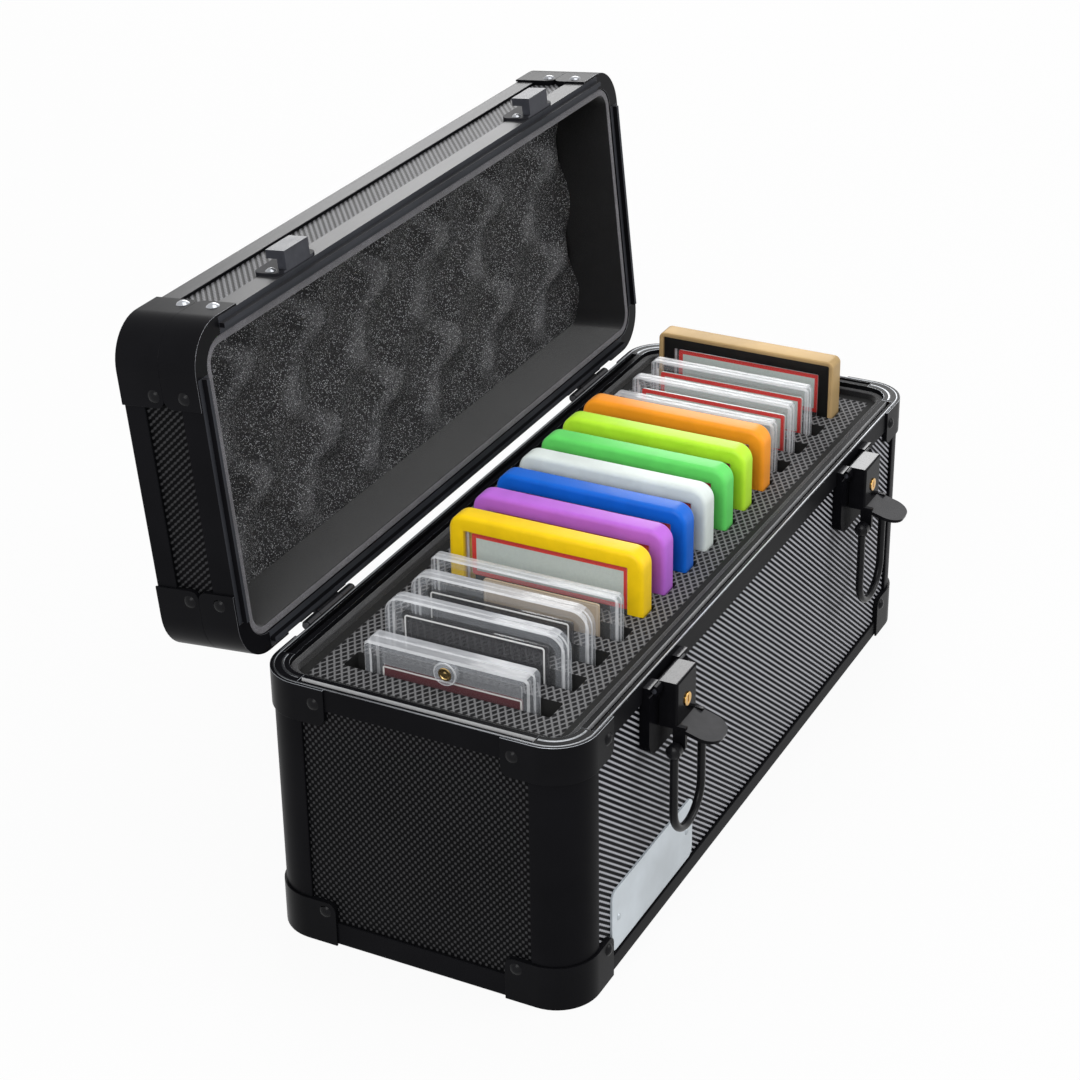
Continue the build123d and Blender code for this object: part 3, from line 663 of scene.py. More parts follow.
@dataclass(frozen=True)
class UprightOutline:
    """A rectangle with round corners standing in the YZ plane on z = 0."""

    width: float
    height: float
    corner: float
    steps: int = 6
    least: float = 0.0006

    def points(self, inset: float) -> list[Point]:
        """Walk round the outline, with as many points for every inset.

        Args:
            inset: How far the outline is drawn in.

        Returns:
            The points as pairs of y and z.
        """
        half_y = self.width / 2 - inset
        half_z = self.height / 2 - inset
        size = max(self.corner - inset, self.least)
        found: list[Point] = []
        for quarter in range(4):
            turn = quarter * QUARTER_TURN
            middle_y = (1 if quarter in (0, 3) else -1) * (half_y - size)
            middle_z = (1 if quarter in (0, 1) else -1) * (half_z - size)
            for step in range(self.steps + 1):
                angle = turn + step / self.steps * QUARTER_TURN
                found.append((middle_y + size * math.cos(angle), middle_z + size * math.sin(angle)))
        return [(y, z + self.height / 2) for y, z in found]


class MeshShop:
    """Makes mesh objects and puts them on their bodies."""

    LID_BODIES = ("lid", "handle")
    WELD = 1e-6
    LEVEL_ANGLE = math.radians(0.4)
    SHARP_ANGLE = 0.6
    EDGE_STEPS = 2

    def __init__(self, frame: dict[str, Any], paintbox: Paintbox, unfold: Matrix) -> None:
        """Keep the frame, the finishes and the lid's closed-to-open move.

        Args:
            paintbox: Where finishes come from.
            unfold: The move that opens the closed lid.
        """
        self.frame = frame
        self.paintbox = paintbox
        self.unfold = unfold
        self.fold = unfold.inverted()
        self.body_of = {node: body for body, nodes in frame["record"]["behaviour"]["bodies"].items()
                        for node in nodes}
        self.slot_of = {part["node"]: part["material_slot"] for part in frame["record"]["subparts"]}

    def add(self, name: str, bm: bmesh.types.BMesh, finishes: Sequence[Finish], body: str, slot: str,
            pick: Picker | None = None, crease: float = 40.0) -> bpy.types.Object:
        """Turn a bmesh into a dressed piece that rides on a body.

        Args:
            name: The piece's name.
            bm: Its mesh, in the rest frame; freed here.
            finishes: Its finishes.
            body: The body it rides on.
            slot: The record's material slot; not used.
            pick: Chooses a finish from a face's middle and normal, with the lid closed.
            crease: Edges sharper than this many degrees stay sharp.

        Returns:
            The new object.
        """
        bmesh.ops.recalc_face_normals(bm, faces=bm.faces)
        fold = self.fold if body in self.LID_BODIES else Matrix.Identity(4)
        turn = fold.to_3x3()
        layer = bm.loops.layers.uv.new(PLAN_LAYER)
        for face in bm.faces:
            face.smooth = True
            normal = turn @ face.normal
            middle = fold @ face.calc_center_median()
            if pick is not None:
                face.material_index = pick(middle, normal)
            axis = max(range(3), key=lambda i: abs(normal[i]))
            first, second = ((1, 2), (0, 2), (0, 1))[axis]
            for loop in face.loops:
                at = fold @ loop.vert.co
                loop[layer].uv = (at[first], at[second])
        mesh = bpy.data.meshes.new(name)
        bm.to_mesh(mesh)
        bm.free()
        mesh.set_sharp_from_angle(angle=math.radians(crease))
        for finish in finishes:
            mesh.materials.append(self.paintbox.get(finish))
        piece = bpy.data.objects.new(name, mesh)
        bpy.context.scene.collection.objects.link(piece)
        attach(piece, body)
        LOG.info("piece %s: %d faces on %s", name, len(mesh.polygons), body)
        return piece

    def dress(self, node: str, finishes: Sequence[Finish], edge: float = 0.0,
              pick: Picker | None = None, crease: float = 40.0) -> bpy.types.Object:
        """Replace a solid by a copy with eased edges and finishes.

        Args:
            node: The solid's node.
            finishes: Its finishes.
            edge: Width of the eased edges, in metres; 0 leaves them.
            pick: Chooses a finish for each face.
            crease: Edges sharper than this many degrees stay sharp.

        Returns:
            The piece that stands for the node.
        """
        bm = bmesh.new()
        bm.from_mesh(self.frame["nodes"][node].data)
        bmesh.ops.remove_doubles(bm, verts=bm.verts, dist=self.WELD)
        bmesh.ops.dissolve_limit(bm, angle_limit=self.LEVEL_ANGLE, verts=bm.verts, edges=bm.edges)
        if edge > 0:
            sharp = [e for e in bm.edges
                     if len(e.link_faces) == 2 and e.calc_face_angle(0.0) > self.SHARP_ANGLE]
            bmesh.ops.bevel(bm, geom=sharp, offset=edge, offset_type="OFFSET", segments=self.EDGE_STEPS,
                            profile=0.5, affect="EDGES", clamp_overlap=True)
        body, slot = self.body_of[node], self.slot_of[node]
        piece = self.add(f"{node}.dressed", bm, finishes, body, slot, pick, crease)
        piece.modifiers.new("broad_faces", "WEIGHTED_NORMAL").keep_sharp = True
        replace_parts(piece, node)
        return piece

    @staticmethod
    def loft(bm: bmesh.types.BMesh, loops: Sequence[Sequence[Vector]], ends: bool) -> None:
        """Skin a row of equal loops.

        Args:
            bm: The mesh that gets the faces.
            loops: The loops, in order.
            ends: Whether to close the first and last; otherwise the row joins into a ring.
        """
        rows = [[bm.verts.new(p) for p in loop] for loop in loops]
        count = len(rows[0])
        pairs = list(zip(rows, rows[1:]))
        if not ends:
            pairs.append((rows[-1], rows[0]))
        for low, high in pairs:
            for i in range(count):
                j = (i + 1) % count
                bm.faces.new((low[i], low[j], high[j], high[i]))
        if ends:
            bm.faces.new(rows[0])
            bm.faces.new(rows[-1])


class RimPart(Enum):
    """Finishes on a rim, in the order of its material slots."""

    BODY = 0
    EDGE_HIGHLIGHT = 1
    WALL_HIGHLIGHT = 2


class LidRimPart(Enum):
    """Finishes on the lid's rim, in the order of its material slots."""

    BODY = 0
    FLANGE = 1
    MOUTH = 2


@dataclass
class CaseWalls:
    """The rails, posts, caps, rims and panels of the base and the lid."""

    rim_level: float = 0.124
    rim_room: float = 0.0008
    half_length: float = 0.186
    half_width: float = 0.0715
    corner: float = 0.018
    wall_inset: float = 0.0046
    edge: float = 0.0004
    cap_edge: float = 0.0009
    mouth_room: float = 0.0014
    plate_low: float = 0.0389
    plate_span: tuple[float, float] = (-0.1530, -0.0720)
    rail: SatinMetal = SatinMetal("black_rail", (0.005, 0.005, 0.006), 0.36, 0.0, 0.0, 0.03, 0.022)
    flange: SatinMetal = SatinMetal("grey_flange", (0.02, 0.02, 0.022), 0.36, 0.0, 0.0, 0.03, 0.18)
    dull_flange: SatinMetal = SatinMetal("dull_flange", (0.02, 0.02, 0.022), 0.36, 0.0, 0.0, 0.03, 0.13)
    lid_mouth: SatinMetal = SatinMetal("lid_mouth", (0.036, 0.038, 0.044), 0.36, 0.0, 0.0, 0.03, 0.02)
    # Painted highlight: bright metal on the eased edge round the black lid mouth.
    mouth_edge_highlight: SatinMetal = SatinMetal("mouth_edge_highlight", (0.22, 0.225, 0.24), 0.3, 1.0, 0.0, 0.03)
    cap: SatinMetal = SatinMetal("black_cap", (0.005, 0.005, 0.006), 0.30, 0.0, 0.0, 0.02, 0.035)
    # Painted highlight: a bright metal finish on the black rim's eased top edges.
    edge_highlight: SatinMetal = SatinMetal("edge_highlight", (0.40, 0.42, 0.45), 0.3, 1.0, 0.0, 0.03)
    # Painted highlight: near-white metal on the channel's inner wall of the black rail, standing for its
    # reflection.
    wall_highlight: SatinMetal = SatinMetal("wall_highlight", (0.95, 0.96, 0.98), 0.36, 0.35, 0.0, 0.03)
    rivet: SatinMetal = SatinMetal("rivet_head", (0.008, 0.008, 0.009), 0.24, 0.0, 0.0, 0.02, 0.07)
    # Painted highlight: a brighter copy of the rivet finish for the rivets on the lid's front, which catch
    # the light.
    rivet_highlight: SatinMetal = SatinMetal("rivet_highlight", (0.30, 0.31, 0.33), 0.2, 0.8, 0.0, 0.02)
    pale_rivet: SatinMetal = SatinMetal("pale_rivet", (0.40, 0.44, 0.47), 0.34, 0.4, 0.1, 0.02)
    # The grains' pale colours are painted highlight on lit facets: strong on the front and rear panels,
    # faint on the ends and the lid top.
    front_grain: GrainedBoard = GrainedBoard("front_grain", (0.002, 0.002, 0.003), (0.46, 0.465, 0.50),
                                             (0.281, 0.352), 0.86, 0.48, 0.82, gloss=0.02, beads=0.3)
    lid_grain: GrainedBoard = GrainedBoard("lid_grain", (0.012, 0.012, 0.012), (0.17, 0.17, 0.18),
                                           (0.27, 0.355), 0.2, gloss=0.12, beads=0.35)
    end_grain: GrainedBoard = GrainedBoard("end_grain", (0.002, 0.002, 0.0024), (0.042, 0.042, 0.044),
                                           (0.352, 0.297), 0.5, 0.42, 0.95, gloss=0.03)
    lid_end_grain: GrainedBoard = GrainedBoard("lid_end_grain", (0.002, 0.002, 0.0024),
                                               (0.036, 0.036, 0.038), (0.352, 0.297), 0.28, 0.42, 0.95,
                                               gloss=0.03)
    under: SatinMetal = SatinMetal("floor_skin", (0.02, 0.02, 0.022), 0.5, 0.0, 0.0)

    def build(self, shop: MeshShop) -> None:
        """Dress every wall piece.

        Args:
            shop: Makes the pieces.
        """
        for node in ("corner_posts", "bottom_rails", "lid_corner_posts"):
            shop.dress(node, [self.rail], self.edge)
        shop.dress("lid_top_rails", [self.rail, self.dull_flange], self.edge, pick=self.on_flange)
        shop.dress("bottom_corner_caps", [self.cap], self.edge)
        shop.dress("lid_corner_caps", [self.cap], self.cap_edge)
        shop.dress("lid_rim_corners", [self.cap, self.mouth_edge_highlight], self.cap_edge, pick=self.at_mouth)
        shop.dress("base_rim_corners", [self.cap, self.edge_highlight], self.edge, pick=self.rim_part)
        finishes = [self.rail, self.edge_highlight, self.wall_highlight]
        shop.dress("base_rim_rails", finishes, self.edge, pick=self.rim_part)
        finishes = [self.rail, self.flange, self.lid_mouth]
        shop.dress("lid_rim_rails", finishes, self.edge, pick=self.lid_part)
        panels = (("front_panel", "rear_panel", self.front_grain),
                  ("lid_front_panel", "lid_rear_panel", self.lid_grain),
                  ("left_panel", "right_panel", self.end_grain),
                  ("lid_left_panel", "lid_right_panel", self.lid_end_grain),
                  ("floor_panel", self.under),
                  ("lid_top_panel", self.end_grain))
        for *nodes, finish in panels:
            for node in nodes:
                shop.dress(node, [finish])
        shop.dress("base_rivets", [self.rivet, self.pale_rivet], pick=self.on_plate, crease=50.0)
        shop.dress("lid_rivets", [self.rivet, self.rivet_highlight], pick=self.on_front, crease=50.0)

    def rim_part(self, middle: Vector, normal: Vector) -> int:
        """Tell an eased top edge and the channel's inner wall, both finished with painted highlight, from
        the rest of the base rim.

        Args:
            middle: The face's middle.
            normal: Its normal.

        Returns:
            The number of its finish.
        """
        part = RimPart.BODY
        out_x = self.half_length - abs(middle.x)
        out_y = self.half_width - abs(middle.y)
        outward = normal.x * middle.x if out_x < out_y else normal.y * middle.y
        if abs(middle.z - self.rim_level) < self.rim_room and eased(normal.z):
            part = RimPart.EDGE_HIGHLIGHT
        elif max(out_x, out_y) > self.corner and abs(normal.z) < EASED[0] and outward > 0:
            if abs(min(out_x, out_y) - self.wall_inset) < self.edge:
                part = RimPart.WALL_HIGHLIGHT
        return part.value

    def at_mouth(self, middle: Vector, normal: Vector) -> int:
        """Choose the painted-highlight finish on the eased edge round the lid's mouth."""
        return int(normal.z < 0 and eased(normal.z) and middle.z < self.rim_level + self.mouth_room)

    def lid_part(self, middle: Vector, normal: Vector) -> int:
        """Choose the finish of a lid rim face: the mouth, a long outer face, or the rest."""
        return LidRimPart.MOUTH.value if normal.z < -SQUARE_ON else self.on_flange(middle, normal)

    @staticmethod
    def on_flange(middle: Vector, normal: Vector) -> int:
        """Choose the grey finish on the long outer faces of the lid rails."""
        long_face = abs(normal.y) > SQUARE_ON and normal.y * middle.y > 0
        return (LidRimPart.FLANGE if long_face else LidRimPart.BODY).value

    def on_front(self, middle: Vector, normal: Vector) -> int:
        """Choose a brighter copy of the rivet finish, a painted highlight, for the rivets on the lid's
        front.
        """
        return int(middle.y < -self.half_width)

    def on_plate(self, middle: Vector, normal: Vector) -> int:
        """Choose the pale finish for the rivets of the label plate."""
        inside = self.plate_span[0] < middle.x < self.plate_span[1]
        return int(inside and middle.y < 0 and middle.z < self.plate_low)


@dataclass
class RimLines:
    """Low beads on the base rim in a bright metal finish as painted highlight: one all round its edge, one
    across each corner.
    """

    walls: CaseWalls
    edge_inset: float = 0.0006
    corner_inset: float = 0.0042
    half_edge: float = 0.0005
    half_corner: float = 0.0008
    rise: float = 0.00016
    sink: float = 0.0003
    shoulder: float = 0.7
    steps: int = 14
    # Painted highlight: a bright metal finish on the beads of the black rim.
    finish: SatinMetal = SatinMetal("line_highlight", (0.27, 0.28, 0.295), 0.3, 1.0, 0.0, 0.03)

    def build(self, shop: MeshShop) -> None:
        """Lay the lines on the rim.

        Args:
            shop: Makes the pieces.
        """
        edge, across = bmesh.new(), bmesh.new()
        profile = self.bead(self.edge_inset, self.half_edge)
        loops = [[p for quarter in range(4) for p in self.arc(quarter, *at)] for at in profile]
        self.sweep(edge, loops, True)
        profile = self.bead(self.corner_inset, self.half_corner)
        for quarter in range(4):
            self.sweep(across, [self.arc(quarter, *at) for at in profile], False)
        for name, bm in (("base_rim_line", edge), ("base_corner_lines", across)):
            shop.add(name, bm, [self.finish], "base", "black_aluminium", crease=80.0)

    @staticmethod
    def sweep(bm: bmesh.types.BMesh, paths: list[list[Vector]], closed: bool) -> None:
        """Skin the paths of a profile's points into one sealed line.

        Args:
            bm: The mesh to add to.
            paths: The path of each point of the profile, in order round the profile.
            closed: Whether the paths close on themselves; otherwise the ends are capped.
        """
        rows = [[bm.verts.new(p) for p in path] for path in paths]
        count = len(rows[0])
        for row, after in zip(rows, rows[1:] + rows[:1]):
            for step in range(count if closed else count - 1):
                ahead = (step + 1) % count
                bm.faces.new((row[step], row[ahead], after[ahead], after[step]))
        if not closed:
            bm.faces.new([row[0] for row in rows])
            bm.faces.new([row[-1] for row in reversed(rows)])

    def bead(self, inset: float, half: float) -> list[Point]:
        """Draw a line's low round profile.

        Args:
            inset: How far in from the rim's outside its middle lies.
            half: Half its width.

        Returns:
            Its points as insets and levels, outside last.
        """
        level, side = self.walls.rim_level, half * self.shoulder
        low, brow, top = level - self.sink, level + self.rise * self.shoulder, level + self.rise
        return [(inset + half, low), (inset + side, brow), (inset, top), (inset - side, brow),
                (inset - half, low)]

    def arc(self, quarter: int, inset: float, z: float) -> list[Vector]:
        """Follow one rounded corner of the rim's outline.

        Args:
            quarter: Which corner, from +X +Y on.
            inset: How far it is drawn in.
            z: Its level.

        Returns:
            The points along it.
        """
        walls = self.walls
        side_x, side_y = ((1, 1), (-1, 1), (-1, -1), (1, -1))[quarter]
        middle = Vector((side_x * (walls.half_length - walls.corner),
                         side_y * (walls.half_width - walls.corner), z))
        radius = walls.corner - inset
        angles = [(quarter + step / self.steps) * QUARTER_TURN for step in range(self.steps + 1)]
        return [middle + radius * Vector((math.cos(a), math.sin(a), 0.0)) for a in angles]


@dataclass
class LabelPlate:
    """The blank label plate on the front panel."""

    edge: float = 0.0002
    finish: SatinMetal = SatinMetal("plate_silver", (0.50, 0.55, 0.59), 0.36, 0.1, 0.1, 0.03)

    def build(self, shop: MeshShop) -> None:
        """Dress the plate."""
        shop.dress("label_plate", [self.finish], self.edge)


@dataclass
class Linings:
    """The felt linings and the foam insert."""

    felt: Felt = Felt("wall_felt", (0.007, 0.007, 0.008), (0.017, 0.017, 0.018))
    dark_fuzz: Felt = Felt("base_edge_felt", (0.025, 0.025, 0.027), (0.07, 0.07, 0.073))
    fuzz: Felt = Felt("lid_edge_felt", (0.095, 0.093, 0.102), (0.28, 0.275, 0.30))
    # Waffle colours: painted shade in the pits, painted highlight on the ridges, then the plain foam.
    waffle: WaffleFoam = WaffleFoam("waffle_foam", (0.012, 0.012, 0.013), (0.19, 0.19, 0.195),
                                    (0.022, 0.022, 0.022), 171.5, 57.0)
    edge: float = 0.0008
    edge_tilt: float = 0.5

    def build(self, shop: MeshShop) -> None:
        """Dress the linings and the insert.

        Args:
            shop: Makes the pieces.
        """
        for node, fuzz in (("base_lining", self.dark_fuzz), ("lid_lining", self.fuzz)):
            piece = shop.dress(node, [self.felt, fuzz], self.edge, pick=self.on_edge)
        shop.dress("slotted_foam", [self.waffle], self.edge)

    def on_edge(self, middle: Vector, normal: Vector) -> int:
        """Choose the fuzzy finish on the cut edge at the opening."""
        return int(abs(normal.z) > self.edge_tilt)


@dataclass
class EggCrate:
    """The egg-crate pad under the lid top, shaped with the lid closed."""

    half_length: float = 0.1753
    half_width: float = 0.0608
    corner: float = 0.007
    ceiling: float = 0.1575
    peak: float = 0.1486
    valley: float = 0.1562
    pitch: Point = (0.055, 0.051)
    first: Point = (0.130, -0.00575)
    flat_from: float = 0.046
    flat_share: float = 0.45
    cell: float = 0.0018
    # Foam colours: the pores, also used as painted shade; the base tone; the painted crest highlight; the
    # painted glints.
    pore_and_shade: Color = (0.008, 0.008, 0.009)
    hollow: Color = (0.042, 0.042, 0.044)
    crest_highlight: Color = (0.135, 0.136, 0.142)
    glint: Color = (0.70, 0.71, 0.73)

    def finish(self) -> OpenFoam:
        """The foam's finish, its crest lines laid out in millimetres."""
        first, pitch = (tuple(round(v / MM, 3) for v in pair) for pair in (self.first, self.pitch))
        return OpenFoam("crate_foam", self.pore_and_shade, self.hollow, self.crest_highlight, self.glint, first, pitch)

    def level(self, x: float, y: float) -> float:
        """Find the foam's lower face, even along the edge by the hinge.

        Args:
            x: Place along the lid.
            y: Place across it.

        Returns:
            The face's height with the lid closed.
        """
        wave = math.cos(2 * math.pi * (x - self.first[0]) / self.pitch[0])
        wave *= math.cos(2 * math.pi * (y - self.first[1]) / self.pitch[1])
        share = (wave + 1) / 2
        share = share * share * (3 - 2 * share)
        near = min(max((y - self.flat_from) / (self.half_width - self.flat_from), 0.0), 1.0)
        share += (self.flat_share - share) * near
        return self.valley + (self.peak - self.valley) * share

    def build(self, shop: MeshShop) -> None:
        """Build the pad and hang it in the lid.

        Args:
            shop: Makes the piece.
        """
        bm = bmesh.new()
        count_x = round(2 * self.half_length / self.cell)
        count_y = round(2 * self.half_width / self.cell)
        rows = []
        for i in range(count_x + 1):
            x = -self.half_length + 2 * self.half_length * i / count_x
            row = []
            for j in range(count_y + 1):
                y = -self.half_width + 2 * self.half_width * j / count_y
                at_x, at_y = self.rounded(x, y)
                row.append(bm.verts.new((at_x, at_y, self.level(at_x, at_y))))
            rows.append(row)
        for low, high in zip(rows, rows[1:]):
            for j in range(count_y):
                bm.faces.new((low[j], low[j + 1], high[j + 1], high[j]))
        border = rows[0] + [row[-1] for row in rows[1:]] + rows[-1][-2::-1]
        border += [row[0] for row in rows[-2:0:-1]]
        lifted = [bm.verts.new((vert.co.x, vert.co.y, self.ceiling)) for vert in border]
        for k, vert in enumerate(border):
            bm.faces.new((vert, border[k - 1], lifted[k - 1], lifted[k]))
        bm.faces.new(lifted)
        bmesh.ops.transform(bm, matrix=shop.unfold, verts=bm.verts)
        piece = shop.add("egg_crate_foam.pad", bm, [self.finish()], "lid", "crate_foam", crease=60.0)
        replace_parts(piece, "egg_crate_foam")

    def rounded(self, x: float, y: float) -> Point:
        """Draw a grid point in to the pad's rounded corners.

        Args:
            x: Its place along the pad.
            y: Its place across it.

        Returns:
            Its new place.
        """
        over_x = abs(x) - (self.half_length - self.corner)
        over_y = abs(y) - (self.half_width - self.corner)
        if over_x <= 0 or over_y <= 0:
            return x, y
        far = max(over_x, over_y) / math.hypot(over_x, over_y)
        new_x = self.half_length - self.corner + over_x * far
        new_y = self.half_width - self.corner + over_y * far
        return math.copysign(new_x, x), math.copysign(new_y, y)


@dataclass
class Hardware:
    """The latches, catches, hinges and handle."""

    flare_level: float = -0.0731
    edge: float = 0.0005
    key_edge: float = 0.0002
    leaf_edge: float = 0.00015
    gloss: GlossPlate = GlossPlate("latch_gloss", (0.005, 0.005, 0.006), 0.16, 0.0, 0.0, 0.035)
    # Painted highlight: a lighter, glossier copy of the black finish for the latch's top faces.
    top_highlight: GlossPlate = GlossPlate("latch_top_highlight", (0.03, 0.03, 0.033), 0.2, 0.0, 0.0, 0.42)
    plate: GlossPlate = GlossPlate("latch_plate", (0.004, 0.004, 0.005), 0.2, 0.0, 0.0, 0.008)
    dark: GlossPlate = GlossPlate("dark_chrome", (0.05, 0.052, 0.062), 0.22, 0.1, 0.0, 0.06)
    flare: GlossPlate = GlossPlate("catch_flange", (0.02, 0.0205, 0.024), 0.2, 0.0, 0.0, 0.006)
    wire: GlossPlate = GlossPlate("black_wire", (0.004, 0.004, 0.005), 0.3, 0.0, 0.0, 0.15)
    brass: GlossPlate = GlossPlate("key_brass", (0.72, 0.42, 0.11), 0.2, 1.0, 0.1)
    hinge: GlossPlate = GlossPlate("hinge_black", (0.03, 0.03, 0.034), 0.3, 0.7, 0.1)
    grip: Felt = Felt("grip_rubber", (0.012, 0.012, 0.012), (0.02, 0.02, 0.02), 0.7)

    def build(self, shop: MeshShop) -> None:
        """Dress every piece of hardware.

        Args:
            shop: Makes the pieces.
        """
        for side in ("left", "right"):
            shop.dress(f"latch_plate_{side}", [self.plate, self.top_highlight], self.edge, pick=self.on_top)
            shop.dress(f"latch_lever_{side}", [self.gloss, self.top_highlight], self.edge, pick=self.on_top)
            shop.dress(f"latch_loop_{side}", [self.wire])
            shop.dress(f"loop_pins_{side}", [self.wire], crease=50.0)
            shop.dress(f"key_cylinder_{side}", [self.brass], self.key_edge)
        shop.dress("latch_pins", [self.dark])
        shop.dress("lid_catches", [self.dark, self.flare], self.edge, pick=self.on_flare)
        for node in ("hinge_base_leaves", "hinge_lid_leaves", "hinge_pins"):
            shop.dress(node, [self.hinge], self.leaf_edge)
        shop.dress("handle_brackets", [self.plate], self.edge)
        shop.dress("handle_bail", [self.wire])
        shop.dress("handle_grip", [self.grip])

    def on_flare(self, middle: Vector, normal: Vector) -> int:
        """Choose the darker finish on a catch's riveted flange."""
        return int(middle.y > self.flare_level)

    @staticmethod
    def on_top(middle: Vector, normal: Vector) -> int:
        """Choose the painted-highlight finish on top faces."""
        return int(normal.z > SQUARE_ON)


@dataclass(frozen=True)
class HolderKind:
    """The sizes of one kind of clear holder."""

    width: float = 0.0826
    height: float = 0.1365
    thickness: float = 0.0066
    corner: float = 0.0025
    rim: float = 0.0040
    step: float = 0.0009
    ease: float = 0.0007


@dataclass(frozen=True)
class Sheet:
    """A printed sheet in a holder: its size, its place and its print."""

    width: float
    height: float
    low: float
    finish: PrintedSheet | ClearPlastic
    shift: float = 0.0


@dataclass(frozen=True)
class SlabLook:
    """What one slab in the row looks like."""

    holder: HolderKind
    label: Sheet | None = None
    card: Sheet | None = None
    bumper: Silicone | None = None
    framed: bool = False
    lined: bool = False
    magnet: bool = False


@dataclass(frozen=True)
class Seat:
    """Where a slab stands: its node and body, the middle of its slot and its holder's foot."""

    node: str
    body: str
    x: float
    lift: float

    def ring(self, outline: UprightOutline, inset: float, depth: float) -> list[Vector]:
        """One loop of an upright outline, depth away from the slab's middle."""
        return [Vector((self.x + depth, y, z + self.lift)) for y, z in outline.points(inset)]


class ShellPart(Enum):
    """Finishes of a clear shell, in the order of its material slots."""

    RIM = 0
    PANE = 1
    EDGE_HIGHLIGHT = 2
    TOP_HIGHLIGHT = 3


class ButtonPart(Enum):
    """Finishes of the magnet button, in the order of its material slots."""

    BRASS = 0
    BOSS = 1
    EDGE_HIGHLIGHT = 2


